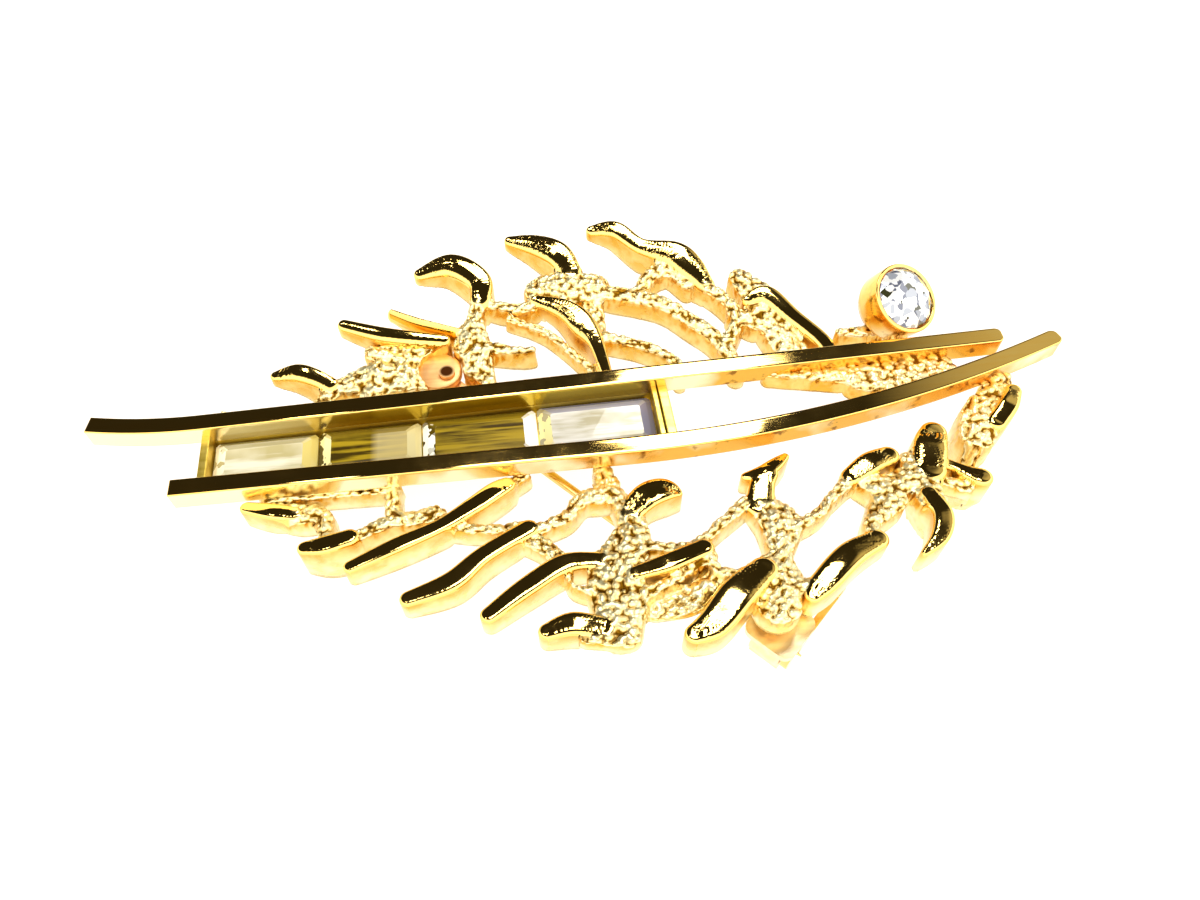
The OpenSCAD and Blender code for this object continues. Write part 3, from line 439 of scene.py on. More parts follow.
def rim_frame(parts, flat, top, hole):
    """At points of the rim, the way out of the outline and the angle that the crown falls
    at on that way."""
    out = np.stack(differences(parts, flat, "edge", hole), 1)
    out /= np.maximum(np.linalg.norm(out, axis=1, keepdims=True), 1e-9)
    drop = top - leaf_field(parts, *(flat + out * FALL_STEP).T)["top"]
    return out, np.clip(np.arctan2(drop, FALL_STEP), 0, math.radians(60))


def round_rings(flat, top, out, first):
    """Rings of a round of radius RIM_R, from the angle first to upright, and their normals."""
    radius = RIM_R / (1 - np.sin(first))
    rings, facing = [], []
    for share in (0.25, 0.5, 0.75, 1):
        turn = first + (math.pi / 2 - first) * share
        away = radius * (np.sin(turn) - np.sin(first))
        down = radius * (np.cos(first) - np.cos(turn))
        rings.append(np.column_stack([flat + out * away[:, None], top - down]))
        facing.append(np.column_stack([out * np.sin(turn)[:, None], np.cos(turn)]))
    return rings, facing


def wall_rings(parts, shoulder, levels):
    """Rings at shares of the way from the shoulder straight down to the base."""
    foot = np.minimum(leaf_field(parts, *shoulder[:, :2].T)["base"], shoulder[:, 2] - THINNEST / 2)
    down = np.array([[0, 0, 1]]) * (foot - shoulder[:, 2])[:, None]
    return [shoulder + down * level for level in levels]


def relief_faces(count, quads, rim_edges, rim, inner, rings):
    """Faces of a net of count points, of the skirts down from its rim through the rings, and
    of the same net below."""
    place = np.full(count, -1)
    place[rim] = np.arange(len(rim))
    start = count + len(rim) * np.arange(rings)
    below = np.empty(count, int)
    below[rim] = start[-1] + np.arange(len(rim))
    below[inner] = start[-1] + len(rim) + np.arange(len(inner))
    a, b = place[rim_edges].T
    skirts = [np.stack([rim_edges[:, 1], rim_edges[:, 0], start[0] + a, start[0] + b], 1)]
    skirts += [np.stack([up + b, up + a, down + a, down + b], 1)
               for up, down in zip(start[:-1], start[1:])]
    return np.vstack([quads] + skirts + [below[quads][:, ::-1]])


def cast_relief(name, parts, material, hole=None):
    """Cast piece: a flat net inside the outline, lifted to the crowns; from its rim a round
    that takes up the crown's slope, a wall down to the base, and the same net below. Beads
    and lumps push the unpolished skin inwards along its normals."""
    flat, quads, rim_edges = relief_net(parts, hole)
    field = leaf_field(parts, *flat.T)
    top, polish = field["top"], field["polish"]
    rim = np.unique(rim_edges)
    inner = np.setdiff1d(np.arange(len(flat)), rim)
    rounds, facing = round_rings(flat[rim], top[rim], *rim_frame(parts, flat[rim], top[rim], hole))
    levels = np.arange(1, WALL_RINGS + 1) / WALL_RINGS
    walls = wall_rings(parts, rounds[-1], levels)
    points = np.vstack([np.column_stack([flat, top])] + rounds + walls
                       + [np.column_stack([flat[inner], field["base"][inner]])])
    under = np.full(len(inner), UNDERSIDE)
    shine = np.concatenate([polish] + [polish[rim]] * len(rounds)
                           + [np.maximum(polish[rim], 0.25 + 0.5 * level) for level in levels] + [under])
    # Wall mark: rises from WALL_TOP towards the foot by the paleness, which paints the white floor's
    # reflection on the walls
    upright = [WALL_TOP + (1 - WALL_TOP) * level * field["pale"][rim] for level in [0, *levels]]
    on_top = np.zeros(len(flat) + len(rim) * (len(rounds) - 1))
    wall = np.concatenate([on_top] + upright + [under])
    faces = relief_faces(len(flat), quads, rim_edges, rim, inner, len(rounds + walls))
    beads = nuggets(points, BEAD, 3)
    rough = np.clip((0.8 - shine) / 0.6, 0, 1)
    sunk = BEAD_DEPTH * (1 - beads) + LUMP_DEPTH * (1 - nuggets(points, LUMP, 8))
    points -= vertex_normals(points, faces) * (rough * sunk)[:, None]
    normals = vertex_normals(points, faces)
    facing = np.vstack([top_normals(parts, flat)] + facing)
    share = rough[:len(facing), None]
    normals[:len(facing)] = share * normals[:len(facing)] + (1 - share) * facing
    add_mesh(name, points, faces, material, normals, polish=shine, grain=beads, wall=wall)


def rounded_profile(half, low, high, r, inset=0.0, n=4, beside=0.1):
    """Closed rounded rectangle, counter-clockwise: quarter circles of radius r less the
    inset about the four inner corners, and a point on the flat a small share of its length
    beside each end of an arc, so that the flats shade flat."""
    turns = np.radians(np.linspace(0, 90, n))[None] + np.radians([-90, 0, 90, 180])[:, None]
    centre = np.array([[half - r, low + r], [half - r, high - r], [r - half, high - r], [r - half, low + r]])
    arcs = centre[:, None] + (r - inset) * np.stack([np.cos(turns), np.sin(turns)], 2)
    back = beside * (np.roll(arcs, 1, 0)[:, -1:] - arcs[:, :1]) + arcs[:, :1]
    on = beside * (np.roll(arcs, -1, 0)[:, :1] - arcs[:, -1:]) + arcs[:, -1:]
    return np.concatenate([back, arcs, on], 1).reshape(-1, 2)


def grid_faces(rows, columns):
    """Quads of a grid whose columns close into a ring, and the two end faces."""
    start = np.arange(rows - 1)[:, None] * columns + np.arange(columns)[None]
    after = np.arange(rows - 1)[:, None] * columns + (np.arange(columns)[None] + 1) % columns
    quads = np.stack([start, start + columns, after + columns, after], -1).reshape(-1, 4)
    ends = [list(range(columns)), list(range(rows * columns - 1, (rows - 1) * columns - 1, -1))]
    return quads.tolist() + ends


def quarter_inset(s, r):
    """How far a round corner of radius r lies in from its side at a distance s from its end."""
    return r - np.sqrt(np.maximum(r * r - np.maximum(r - s, 0) ** 2, 0))


def swept_bar(name, ends, steps, line, half, low, high, r, material, corners=(0, 0)):
    """Rounded rectangle carried along a line y = line(x) from one end to the other. Near an
    end the profile shrinks on a quarter circle of radius r, and narrows on a wider one, the
    corner of the end in plan."""
    left, right = (max(corner, r) for corner in corners)
    lag = 1 - np.cos(np.linspace(0, math.pi / 2, 9)[:-1])
    from_left, from_right = (np.unique(np.concatenate([wide * lag, r * lag])) for wide in (left, right))
    x = np.concatenate([ends[0] + from_left, np.linspace(ends[0] + left, ends[1] - right, steps),
                        ends[1] - from_right[::-1]])
    y = line(x)
    slope = (line(x + 0.05) - line(x - 0.05)) / 0.1
    side = np.stack([-slope, np.ones_like(slope)], 1) / np.hypot(1, slope)[:, None]
    nearest_end = np.minimum(x - ends[0], ends[1] - x)
    narrow = np.maximum(quarter_inset(x - ends[0], corners[0]), quarter_inset(ends[1] - x, corners[1]))
    rings = np.stack([rounded_profile(half - cut, low, high, r, inset)
                      for cut, inset in zip(narrow, quarter_inset(nearest_end, r))])
    points = np.empty(rings.shape[:2] + (3,))
    points[..., :2] = np.stack([x, y], 1)[:, None] + side[:, None] * rings[..., :1]
    points[..., 2] = rings[..., 1]
    faces = grid_faces(*rings.shape[:2])
    add_mesh(name, points.reshape(-1, 3), [f[::-1] for f in faces], material)


def revolved(name, profile, place, material, n=96):
    """Profile of radius and height turned round the z axis, then put in place; its first
    and last points lie on the axis."""
    profile = np.array(profile, float)
    turn = np.linspace(0, 2 * math.pi, n, endpoint=False)
    ring = profile[1:-1]
    points = np.stack([ring[:, :1] * np.cos(turn), ring[:, :1] * np.sin(turn),
                       np.repeat(ring[:, 1:], n, 1)], -1).reshape(-1, 3)
    poles = np.array([[0, 0, profile[0, 1]], [0, 0, profile[-1, 1]]])
    points = np.vstack([points, poles])
    k = np.arange(n)
    after = (k + 1) % n
    faces = grid_faces(len(ring), n)[:-2]
    last = (len(ring) - 1) * n
    faces += np.stack([k, np.full(n, len(points) - 2), after], 1)[:, ::-1].tolist()
    faces += np.stack([last + k, last + after, np.full(n, len(points) - 1)], 1)[:, ::-1].tolist()
    turned = points @ np.array(place.to_3x3()).T + np.array(place.translation)
    add_mesh(name, turned, [f[::-1] for f in faces], material)


# Materials

def node_tree(tree):
    """Empties a node tree and returns a helper that adds a node to it, with its settings and
    with values or links for its inputs."""
    tree.nodes.clear()

    def add(kind, values=None, **settings):
        node = tree.nodes.new(kind)
        for key, value in settings.items():
            setattr(node, key, value)
        for key, value in (values or {}).items():
            if isinstance(value, bpy.types.NodeSocket):
                tree.links.new(value, node.inputs[key])
            else:
                node.inputs[key].default_value = value
        return node

    return add


def new_group(name, inputs, outputs):
    """Node group with the defaults of its inputs and the names of its outputs, its node
    helper and the outputs of its input node."""
    group = bpy.data.node_groups.new(name, "ShaderNodeTree")
    socket = group.interface.new_socket
    for label, default in inputs.items():
        socket(label, in_out="INPUT", socket_type="NodeSocketFloat").default_value = default
    for label in outputs:
        socket(label, in_out="OUTPUT", socket_type="NodeSocketFloat")
    add = node_tree(group)
    return group, add, add("NodeGroupInput").outputs


def grain_group():
    """Group: packed beads on Object coordinates, as a domed height and a mask of the
    creases between them, which the cast gold darkens as painted shade."""
    group, add, given = new_group("nugget_grain", {"Scale": 3000.0, "Jitter": 0.9}, ("Height", "Crease"))
    place = object_place(add)
    cells = add("ShaderNodeTexVoronoi", {"Vector": place, "Scale": given["Scale"],
                                         "Randomness": given["Jitter"]}, feature="F1")
    square = add("ShaderNodeMath", {0: cells.outputs["Distance"], 1: 2.0}, operation="POWER")
    under = add("ShaderNodeMath", {0: 1.0, 1: square.outputs[0]}, operation="SUBTRACT", use_clamp=True)
    height = add("ShaderNodeMath", {0: under.outputs[0]}, operation="SQRT")
    crease_shade = mask(add, cells.outputs["Distance"], 0.5, 0.8)
    add("NodeGroupOutput", {"Height": height.outputs[0], "Crease": crease_shade})
    return group


def handling_group():
    """Group: faint hairlines and smears of handling on Object coordinates."""
    group, add, given = new_group("handling_wear", {"Lowest": 0.05, "Highest": 0.15},
                                  ("Roughness", "Height"))
    place = object_place(add)
    smear = noise(add, place, 260.0, 5.0, 0.6)
    stretch = add("ShaderNodeMapping", {"Vector": place, "Scale": (120.0, 2600.0, 900.0),
                                        "Rotation": (0, 0, 0.3)})
    lines = noise(add, stretch.outputs[0], 1.0, 3.0)
    rough = mask(add, smear, 0.35, 0.7, given["Lowest"], given["Highest"])
    mixed = add("ShaderNodeMath", {0: smear, 1: lines}, operation="ADD")
    add("NodeGroupOutput", {"Roughness": rough, "Height": mixed.outputs[0]})
    return group


def group_node(add, group, **values):
    """Group placed in a material, with the values of its inputs."""
    return add("ShaderNodeGroup", {k.replace("_", " "): v for k, v in values.items()}, node_tree=group)


def new_material(name):
    """Material and its node helper."""
    material = bpy.data.materials.new(name)
    material.use_nodes = True
    return material, node_tree(material.node_tree)


def finish(add, values):
    """Principled shader with the values of its inputs, joined to the output."""
    shader = add("ShaderNodeBsdfPrincipled", values)
    add("ShaderNodeOutputMaterial", {"Surface": shader.outputs[0]})


def finish_metal(add, colour, roughness, normal):
    """Metal shader, joined to the output."""
    finish(add, {"Metallic": 1.0, "Base Color": colour, "Roughness": roughness, "Normal": normal})


def object_place(add):
    """Object coordinates."""
    return add("ShaderNodeTexCoord").outputs["Object"]


def noise(add, place, scale, detail=2.0, roughness=0.5):
    """Soft noise on a place, at a scale per metre."""
    return add("ShaderNodeTexNoise", {"Vector": place, "Scale": scale, "Detail": detail,
                                      "Roughness": roughness}).outputs[0]


def bump(add, height, strength, distance, normal=None):
    """Normal bent by a height, after the given normal if there is one."""
    before = {} if normal is None else {"Normal": normal}
    return add("ShaderNodeBump", {"Height": height, "Strength": strength, "Distance": distance,
                                  **before}).outputs[0]


def mask(add, value, low, high, start=0.0, end=1.0):
    """Value mapped from low..high to start..end."""
    return add("ShaderNodeMapRange", {"Value": value, "From Min": low, "From Max": high,
                                      "To Min": start, "To Max": end}).outputs[0]


def times(add, one, two):
    """Product of two values."""
    return add("ShaderNodeMath", {0: one, 1: two}, operation="MULTIPLY").outputs[0]


def tint(add, share, one, two):
    """Colour one where the share is 0 and colour two where it is 1."""
    one, two = ((*shade, 1) if isinstance(shade, tuple) else shade for shade in (one, two))
    return add("ShaderNodeMix", {0: share, 6: one, 7: two}, data_type="RGBA").outputs[2]


def between(add, share, one, two):
    """Value one where the share is 0 and value two where it is 1."""
    return add("ShaderNodeMix", {0: share, 2: one, 3: two}).outputs[0]


GRAIN = grain_group()
HANDLING = handling_group()


def cast_gold():
    """Cast gold: polished where the polish mark is high, else cream beads with painted shade,
    golden on their flanks and brown in the creases, and satin, mottled walls with painted
    shade near their top and a painted reflection of the white floor towards their foot."""
    material, add = new_material("cast_gold")
    mark = {name: add("ShaderNodeAttribute", attribute_name=name).outputs["Fac"]
            for name in ("polish", "grain", "wall")}
    fine = group_node(add, GRAIN, Scale=4200.0, Jitter=0.9)
    hand = group_node(add, HANDLING, Lowest=0.03, Highest=0.1)
    bare = mask(add, mark["polish"], 0.25, 0.75, 1, 0)
    # Painted shade by bead height: the flanks of the beads turn deeper gold and the creases between them
    # brown, the fine creases too
    flank_shade = times(add, mask(add, mark["grain"], 0.3, 0.8, 1, 0), bare)
    crease_shade = times(add, mask(add, mark["grain"], 0.05, 0.42, 1, 0), bare)
    fine_crease_shade = times(add, fine.outputs["Crease"], times(add, bare, 0.3))
    mottle = noise(add, object_place(add), 700.0, 4.0)
    colour = tint(add, bare, (1.0, 0.69, 0.19), (1.0, 0.9, 0.52))
    colour = tint(add, flank_shade, colour, (1.0, 0.7, 0.22))
    colour = tint(add, fine_crease_shade, colour, (0.5, 0.27, 0.05))
    colour = tint(add, crease_shade, colour, (0.2, 0.085, 0.003))
    # Walls: painted shade in orange near their top, turning to a painted reflection of the white floor in
    # pale cream towards their foot
    spots = mask(add, mottle, 0.4, 0.62)
    upper_wall_shade = tint(add, spots, (0.8, 0.43, 0.05), (0.97, 0.67, 0.2))
    lower_wall_floor_reflection = tint(add, spots, (0.98, 0.75, 0.3), (1.0, 0.88, 0.52))
    side = tint(add, mask(add, mark["wall"], 0.35, 0.75), upper_wall_shade, lower_wall_floor_reflection)
    on_wall = mask(add, mark["wall"], 0.05, 0.28)
    colour = tint(add, on_wall, colour, side)
    rough = between(add, bare, hand.outputs["Roughness"], 0.38)
    rough = between(add, on_wall, rough, mask(add, mottle, 0.3, 0.7, 0.2, 0.42))
    beads = bump(add, times(add, fine.outputs["Height"], bare), 0.4, 0.00007)
    finish_metal(add, colour, rough, bump(add, hand.outputs["Height"], 0.25, 0.00002, beads))
    return material


def bar_gold():
    """Polished gold of the bars: hairlines, faint waves and duller smears; satin sides painted pale
    at the left, as a reflection of the white floor, and mottled with painted shade in orange and
    brown towards the tip."""
    material, add = new_material("bar_gold")
    hand = group_node(add, HANDLING, Lowest=0.03, Highest=0.09)
    normal = add("ShaderNodeNewGeometry").outputs["True Normal"]
    facing = add("ShaderNodeSeparateXYZ", {0: normal}).outputs["Z"]
    side = mask(add, facing, 0.1, 0.5, 1, 0)
    place = object_place(add)
    where = add("ShaderNodeSeparateXYZ", {0: place}).outputs
    along = add("ShaderNodeMath", {0: where["Y"], 1: 2.0, 2: where["X"]}, operation="MULTIPLY_ADD").outputs[0]
    patches = noise(add, place, 170.0, 3.0)
    spots = noise(add, place, 800.0, 3.0)
    # Painted reflection and shade on the sides: pale cream for the white floor, orange patches with brown
    # spots towards the tip for dimmer reflection
    orange = times(add, mask(add, patches, 0.34, 0.5), mask(add, along, -0.016, -0.008))
    brown = times(add, mask(add, spots, 0.6, 0.68), orange)
    tone = mask(add, hand.outputs["Height"], 0.7, 1.3)
    colour = tint(add, tone, (1.0, 0.71, 0.22), (1.0, 0.64, 0.15))
    sides = tint(add, orange, (0.98, 0.86, 0.54), (0.82, 0.43, 0.06))
    sides = tint(add, brown, sides, (0.3, 0.13, 0.015))
    # Painted shade: the upper bar's side is olive as far as the channel goes, where the channel shades it
    inner = times(add, mask(add, where["Y"], 0, 0.001), mask(add, where["X"], 0.0045, 0.0035))
    inner = times(add, inner, mask(add, where["X"], -0.024, -0.016))
    sides = tint(add, inner, sides, (0.62, 0.44, 0.05))
    colour = tint(add, side, colour, sides)
    rough = between(add, side, hand.outputs["Roughness"], 0.2)
    finish_metal(add, colour, rough, bump(add, hand.outputs["Height"], 0.2, 0.00001))
    return material


# Worn metals: bright and dull tone, least and most roughness, and strength of the waves
WORN = {
    "channel_gold": ((0.9, 0.7, 0.16), (0.62, 0.44, 0.06), 0.28, 0.45, 0.3),
    "seat_gold": ((1.0, 0.66, 0.3), (0.85, 0.45, 0.16), 0.35, 0.55, 0.6),
    "pin_gold": ((0.98, 0.72, 0.3), (0.88, 0.54, 0.16), 0.08, 0.22, 0.3),
    "catch_gold": ((1.0, 0.86, 0.58), (0.96, 0.7, 0.34), 0.3, 0.42, 0.5),
}


def worn_gold(name):
    """Material, its node helper, and its colour, roughness and normal: metal between two
    tones that vary with the smears of handling."""
    bright, dull, lowest, highest, strength = WORN[name]
    material, add = new_material(name)
    hand = group_node(add, HANDLING, Lowest=lowest, Highest=highest)
    colour = tint(add, mask(add, hand.outputs["Height"], 0.7, 1.3), bright, dull)
    waves = bump(add, hand.outputs["Height"], strength, 0.00002)
    return material, add, colour, hand.outputs["Roughness"], waves


def plain_gold(name):
    """Worn metal with nothing more on it: the olive channel, the creamy catch's housing."""
    material, add, colour, rough, waves = worn_gold(name)
    finish_metal(add, colour, rough, waves)
    return material


def seat_gold():
    """Dull, reddish, unpolished metal of the hinge's seat, browned round the tenon."""
    material, add, colour, rough, waves = worn_gold("seat_gold")
    middle = Vector(SEAT_TENON) * MM
    flat = add("ShaderNodeVectorMath", {0: object_place(add), 1: (1, 1, 0)}, operation="MULTIPLY").outputs[0]
    away = add("ShaderNodeVectorMath", {0: flat, 1: middle}, operation="DISTANCE").outputs["Value"]
    colour = tint(add, mask(add, away, 0.0004, 0.0006, 1, 0), colour, (0.07, 0.02, 0.004))
    finish_metal(add, colour, rough, waves)
    return material


def pin_gold():
    """Bright drawn metal of the pin, its rivet and the catch's drum and lever."""
    material, add, colour, rough, waves = worn_gold("pin_gold")
    fine = group_node(add, GRAIN, Scale=9000.0, Jitter=1.0)
    finish_metal(add, colour, rough, bump(add, fine.outputs["Height"], 0.06, 0.00002, waves))
    return material


# Tints of the step-cut stones, their own colour with painted reflections of the cut and the foil:
# dark and light streaks, the far facets, the splinters of the left end, the right end; the
# streaks per metre, and where the paler end of the streaks begins
STONES = {
    "baguette_1": {"low": (0.5, 0.43, 0.21), "high": (0.84, 0.8, 0.62), "far": (0.34, 0.3, 0.15),
                   "left": (1.0, 0.95, 0.75), "right": (0.6, 0.48, 0.14), "lines": 900.0},
    "baguette_2": {"low": (0.05, 0.03, 0.001), "high": (0.38, 0.26, 0.012), "far": (0.2, 0.14, 0.01),
                   "left": (0.95, 0.85, 0.4), "right": (0.6, 0.52, 0.26), "lines": 2100.0,
                   "paler": -0.0162},
    "baguette_3": {"low": (0.05, 0.03, 0.001), "high": (0.34, 0.23, 0.01), "far": (0.2, 0.14, 0.01),
                   "left": (1.0, 0.98, 0.85), "right": (1.0, 0.97, 0.9), "lines": 2500.0},
    "baguette_4": {"low": (0.36, 0.32, 0.2), "high": (0.64, 0.62, 0.57), "far": (0.26, 0.27, 0.42),
                   "left": (0.85, 0.74, 0.35), "right": (0.2, 0.19, 0.26), "lines": 1000.0},
}


def foiled_glass(name, tints):
    """Cut glass on foil: painted reflections of the cut, as streaks along the stone, other tints
    on the facets that lean away from the table and splinters at the left end, and a clear
    polished skin. It glows a little, as painted light standing in for the light that the foil
    throws back."""
    material, add = new_material(name)
    place = object_place(add)
    stretch = add("ShaderNodeMapping", {"Vector": place, "Scale": (130.0, tints["lines"], 400.0)})
    lines = noise(add, stretch.outputs[0], 1.0, 5.0)
    cloud = noise(add, place, 420.0)
    normal = add("ShaderNodeNewGeometry").outputs["True Normal"]
    facing = add("ShaderNodeSeparateXYZ", {0: normal})
    low, high = tints["low"], tints["high"]
    # Painted reflections: streaks, then tints by the way each facet faces, then splinters at the left end
    colour = tint(add, mask(add, lines, 0.42, 0.58), low, high)
    colour = tint(add, times(add, mask(add, cloud, 0.4, 0.65), 0.4), colour, high)
    if "paler" in tints:
        along = add("ShaderNodeSeparateXYZ", {0: place}).outputs["X"]
        share = mask(add, along, tints["paler"], tints["paler"] + 0.0006, 0, 0.55)
        colour = tint(add, share, colour, (0.62, 0.52, 0.26))
    colour = tint(add, mask(add, facing.outputs["Y"], 0.1, 0.5), colour, tints["far"])
    cells = add("ShaderNodeTexVoronoi", {"Vector": place, "Scale": 1900.0}, distance="MANHATTAN")
    chance = add("ShaderNodeSeparateColor", {0: cells.outputs["Color"]}).outputs[0]
    splinters = tint(add, mask(add, chance, 0.35, 0.4), low, tints["left"])
    colour = tint(add, mask(add, facing.outputs["X"], -0.1, -0.3), colour, splinters)
    colour = tint(add, mask(add, facing.outputs["X"], 0.1, 0.3), colour, tints["right"])
    # The emission is painted light, for the light that the foil throws back
    finish(add, {"Base Color": colour, "Metallic": 0.1, "Roughness": 0.2,
                 "Normal": bump(add, lines, 0.2, 0.00004), "Specular IOR Level": 0.2,
                 "Coat Weight": 1.0, "Coat Roughness": 0.02, "Coat IOR": 1.35,
                 "Emission Color": colour, "Emission Strength": 0.12})
    return material


def brilliant_glass():
    """Round stone: every facet breaks into painted reflections, splinters of white, grey and dark
    olive, larger on the table and finer on the crown, under a clear polished skin; they also
    glow a little, as painted light."""
    material, add = new_material("brilliant_glass")
    place = object_place(add)
    facing = add("ShaderNodeNewGeometry").outputs["True Normal"]
    snapped = add("ShaderNodeVectorMath", {0: facing, 1: (0.11, 0.11, 0.11)}, operation="SNAP").outputs[0]
    moved = add("ShaderNodeVectorMath", {0: snapped, 1: (0.004, 0.004, 0.004), 2: place},
                operation="MULTIPLY_ADD").outputs[0]
    cells = add("ShaderNodeTexVoronoi", {"Vector": moved, "Scale": 1500.0}, distance="MANHATTAN")
    chance = add("ShaderNodeSeparateColor", {0: cells.outputs["Color"]})
    # Painted reflections: one shade from the ramp for each splinter of each facet
    ramp = add("ShaderNodeValToRGB", {"Fac": chance.outputs[0]})
    ramp.color_ramp.interpolation = "CONSTANT"
    shades = [(0.0, (0.04, 0.04, 0.015, 1)), (0.13, (0.12, 0.13, 0.18, 1)), (0.32, (0.33, 0.35, 0.4, 1)),
              (0.47, (0.85, 0.85, 0.84, 1))]
    stops = ramp.color_ramp.elements
    stops[0].position, stops[0].color = shades[0]
    stops[1].position, stops[1].color = shades[3]
    for position, shade in shades[1:3]:
        stops.new(position).color = shade
    # The emission is painted light, glowing with the painted reflections
    finish(add, {"Base Color": ramp.outputs[0], "Metallic": 0.3, "Roughness": 0.1,
                 "Normal": bump(add, chance.outputs[1], 0.5, 0.0001),
                 "Coat Weight": 1.0, "Coat Roughness": 0.02, "Coat IOR": 1.6,
                 "Emission Color": ramp.outputs[0], "Emission Strength": 0.2})
    return material


def floor_material():
    """Matt white board that glows a little, so that its shadows stay faint."""
    material, add = new_material("pale_floor")
    mottle = noise(add, object_place(add), 30.0)
    colour = tint(add, mottle, (0.34, 0.34, 0.33), (0.37, 0.37, 0.36))
    finish(add, {"Base Color": colour, "Roughness": 0.9, "Specular IOR Level": 0.1,
                 "Emission Color": (1, 1, 0.99, 1), "Emission Strength": 0.9})
    return material


# Pieces

def build_leaf(gold):
    """Upper and lower half of the leaf, and the web between the bars near the tip."""
    flat = {"crown": FINGER_CROWN, "polish": 1.0, "power": 5}
    beaded = {"crown": WEB_CROWN, "polish": 0.0}
    cast_relief("leaf_upper", strokes(UPPER_FINGERS, FINGER_DEPTH, tip_share=UPPER_TIP, lean=UPPER_LEAN,
                                      pale=UPPER_FLOOR_REFLECTION, **flat)
                + strokes(UPPER_FINS, FINGER_DEPTH, FIN_CROWN, polish=1.0, power=1.2,
                          tip_share=UPPER_TIP)
                + strokes(UPPER_WEBS, WEB_DEPTH, pale=UPPER_FLOOR_REFLECTION, **beaded), gold, SEAT_OPENING)
    cast_relief("leaf_lower", strokes(LOWER_FINGERS, FINGER_DEPTH, tip_share=LOWER_TIP, **flat)
                + strokes(TALL_FINGERS, TALL_DEPTH, tip_share=LOWER_TIP, **flat)
                + strokes(TALL_WEBS, TALL_DEPTH, **beaded) + strokes(LOWER_WEBS, WEB_DEPTH, **beaded)
                + strokes(FOOT_WALLS, FOOT_DEPTH, crown=0.2, polish=0.6, pale=0.3)
                + strokes(LOW_WEBS, THIN_DEPTH, crown=0.2, polish=0.3), gold)
    cast_relief("tip_web", strokes(TIP_WEBS, THIN_DEPTH, crown=0.25, polish=0.0, pale=0), gold)


def build_bars(gold):
    """Two bars of square section with rounded edges and ends."""
    low = BAR_TOP - BAR_H
    for name, ends, line, corners in (("upper_bar", UPPER_ENDS, upper_y, UPPER_CORNERS),
                                      ("lower_bar", LOWER_ENDS, lower_y, LOWER_CORNERS)):
        swept_bar(name, ends, BAR_STEPS, line, BAR_W / 2, low, BAR_TOP, BAR_EDGE, gold, corners)


def channel_middle(x):
    """Line midway between the two bars."""
    return (upper_y(x) + lower_y(x)) / 2


def build_channel(gold):
    """Plate under the stones, walls inside the bars, and the wall and strips at its ends."""
    ends, steps, wall = (CHANNEL["left"], CHANNEL["right"]), CHANNEL["steps"], CHANNEL["wall"]
    top = CHANNEL["plate_top"]
    base = top - CHANNEL["plate_t"]
    half = float(upper_y(np.array(-10.0)) - lower_y(np.array(-10.0))) / 2 - BAR_W / 2
    swept_bar("channel_plate", ends, steps, channel_middle, half + CHANNEL["overlap"], base, top, 0.1, gold)
    inner = BAR_W / 2 - wall / 2
    for name, line, side in (("channel_wall_upper", upper_y, -1), ("channel_wall_lower", lower_y, 1)):
        swept_bar(name, ends, steps, lambda x: line(x) + side * inner, wall / 2, base,
                  BAR_TOP - BAR_H + 0.1, 0.05, gold)
    for name, (one, two, reach) in STRIPS.items():
        swept_bar(name, (one, two), 4, channel_middle, half + reach, base, STRIP_TOP, 0.08, gold)


def build_cup(gold):
    """Leaning cup: a floor, a foot that widens to the wall, a rolled rim and a ledge inside."""
    outer, inner, depth, roll = 2.76, 2.46, 2.9, 0.1
    turns = np.radians([0, 30, 60, 90])
    lip = [[outer - roll + roll * math.cos(t), -roll + roll * math.sin(t)] for t in turns]
    lip += [[inner + roll - roll * math.sin(t), -roll + roll * math.cos(t)] for t in turns]
    foot = [[0, -depth], [outer - 0.55, -depth], [outer - 0.4, -depth + 0.05]]
    wall = [[outer - 0.08, -depth + 0.6], [outer, -depth + 0.9]]
    ledge = [[inner, -0.4], [inner - 0.5, -depth + 0.6], [inner - 0.7, -depth + 0.5], [0, -depth + 0.5]]
    profile = foot + wall + lip + ledge
    place = (Matrix.Translation(CUP_CENTRE) @ Matrix.Rotation(math.radians(CUP_TURN), 4, "Z")
             @ Matrix.Rotation(math.radians(CUP_LEAN), 4, "Y"))
    revolved("stone_cup", profile, place, gold)


def build_seat(gold):
    """Flat seat disc of the hinge with a softened edge."""
    r, low, high, soft = 1.7, 3.3, 4.0, 0.15
    profile = [[0, low], [r - 0.1, low], [r, low + 0.1], [r, high - soft],
               [r - 0.3 * soft, high - 0.3 * soft], [r - soft, high], [0.6, high], [0, high]]
    revolved("hinge_seat", profile, Matrix.Translation(SEAT_CENTRE), gold, 64)


def dress_nodes(seat):
    """Materials of the CAD nodes that are shown as they are."""
    metal = pin_gold()
    dress = {name: foiled_glass(name + "_glass", tints) for name, tints in STONES.items()}
    dress.update({"round_stone": brilliant_glass(), "hinge_bracket": seat, "hinge_rivet": metal,
                  "pin_stem": metal, "catch_housing": plain_gold("catch_gold"), "catch_rotor": metal})
    for name, material in dress.items():
        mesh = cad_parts[name].data
        mesh.materials.clear()
        mesh.materials.append(material)


# Stage

def build_floor():
    """Level pale floor that the brooch lies on."""
    side = 2.0
    mesh = bpy.data.meshes.new("floor")
    corners = [(-side, -side, 0), (side, -side, 0), (side, side, 0), (-side, side, 0)]
    mesh.from_pydata(corners, [], [(0, 1, 2, 3)])
    floor = bpy.data.objects.new("floor", mesh)
    bpy.context.scene.collection.objects.link(floor)
    mesh.materials.append(floor_material())


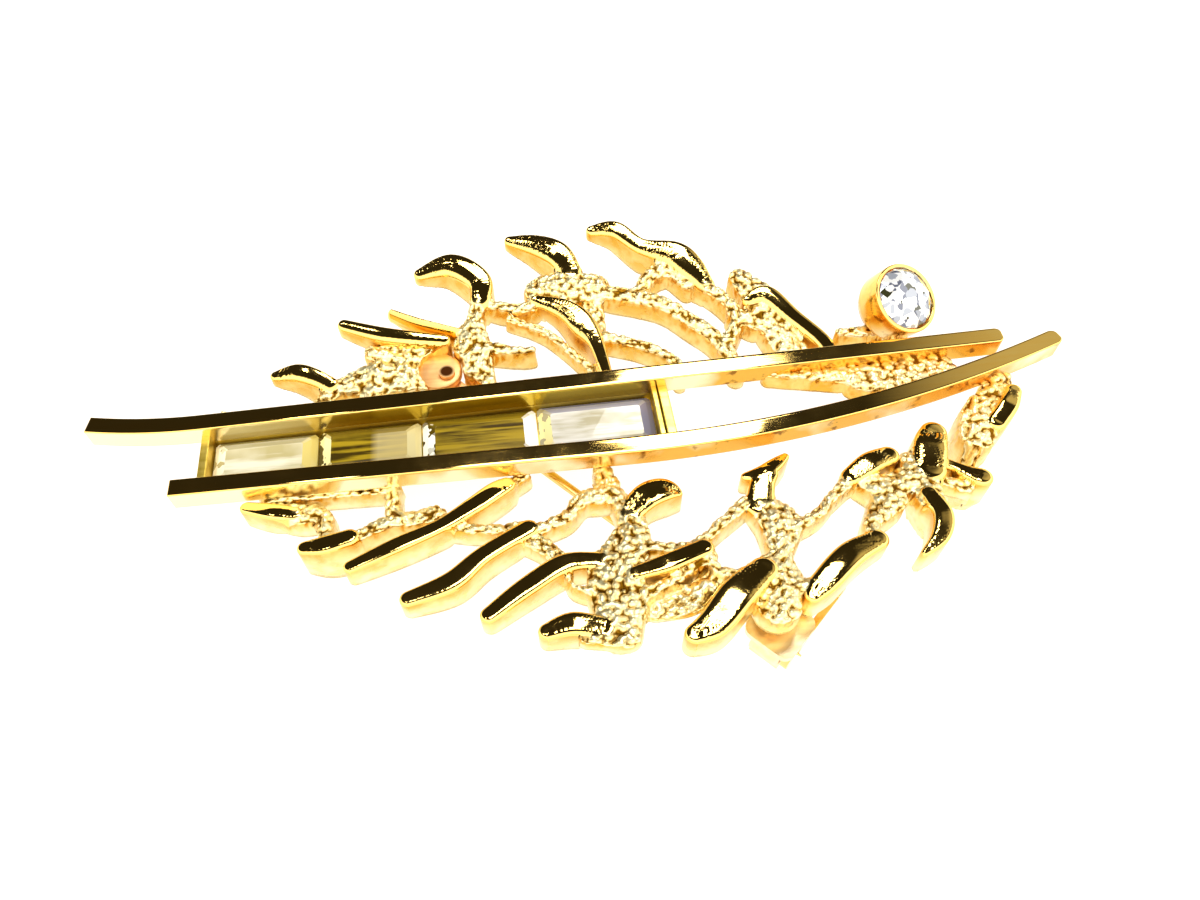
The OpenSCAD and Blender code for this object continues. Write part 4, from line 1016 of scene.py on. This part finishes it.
def light_panel(name, centre, size, turn):
    """Level rectangular soft panel, turned about the vertical."""
    lamp = bpy.data.lights.new(name, "AREA")
    lamp.shape = "RECTANGLE"
    lamp.size, lamp.size_y = size
    lamp.energy = PANEL_RADIANCE * math.pi * size[0] * size[1]
    panel = bpy.data.objects.new(name, lamp)
    bpy.context.scene.collection.objects.link(panel)
    panel.location = centre
    panel.rotation_euler = (0, 0, math.radians(turn))


def soft_spot(add, way, towards, limits):
    """Share that rises from 0 to 1 as a direction nears one, between two cosines."""
    near = add("ShaderNodeVectorMath", {0: way, 1: Vector(towards).normalized()},
               operation="DOT_PRODUCT").outputs["Value"]
    return add("ShaderNodeMapRange", {"Value": near, "From Min": limits[0], "From Max": limits[1]},
               interpolation_type="SMOOTHSTEP").outputs[0]


def build_light():
    """Main panel behind, a wide one before it and a small one at the left, in a bright room
    with a dark card high up behind the brooch, which the flat tops mirror, and a dim window
    at its right, which the bars' tips mirror."""
    for name, (centre, size, turn) in PANELS.items():
        light_panel(name, centre, size, turn)
    world = bpy.data.worlds.new("studio")
    bpy.context.scene.world = world
    world.use_nodes = True
    add = node_tree(world.node_tree)
    way = add("ShaderNodeTexCoord").outputs["Generated"]
    height = add("ShaderNodeSeparateXYZ", {0: way}).outputs["Z"]
    colour = tint(add, mask(add, height, 0.05, 0.5), (1.1, 1.07, 1.02), (2.3, 2.25, 2.12))
    for towards, limits, shade in (CARD, WINDOW):
        colour = tint(add, soft_spot(add, way, towards, limits), colour, shade)
    room = add("ShaderNodeBackground", {"Color": colour, "Strength": 1.0})
    add("ShaderNodeOutputWorld", {"Surface": room.outputs[0]})


def build_camera():
    """Camera at the photo's point of view."""
    lens = bpy.data.cameras.new("photo_view")
    lens.sensor_width = SENSOR
    lens.lens = LENS
    lens.clip_start = 0.001
    camera = bpy.data.objects.new("photo_view", lens)
    bpy.context.scene.collection.objects.link(camera)
    camera.location = CAMERA_PLACE
    camera.rotation_euler = Vector(CAMERA_WAY).to_track_quat("-Z", "Y").to_euler()
    bpy.context.scene.camera = camera
    bpy.context.scene.view_settings.view_transform = "Standard"


build_camera()
cast, polished, seat = cast_gold(), bar_gold(), seat_gold()
build_leaf(cast)
build_bars(polished)
build_channel(plain_gold("channel_gold"))
build_cup(polished)
build_seat(seat)
dress_nodes(seat)
build_floor()
build_light()
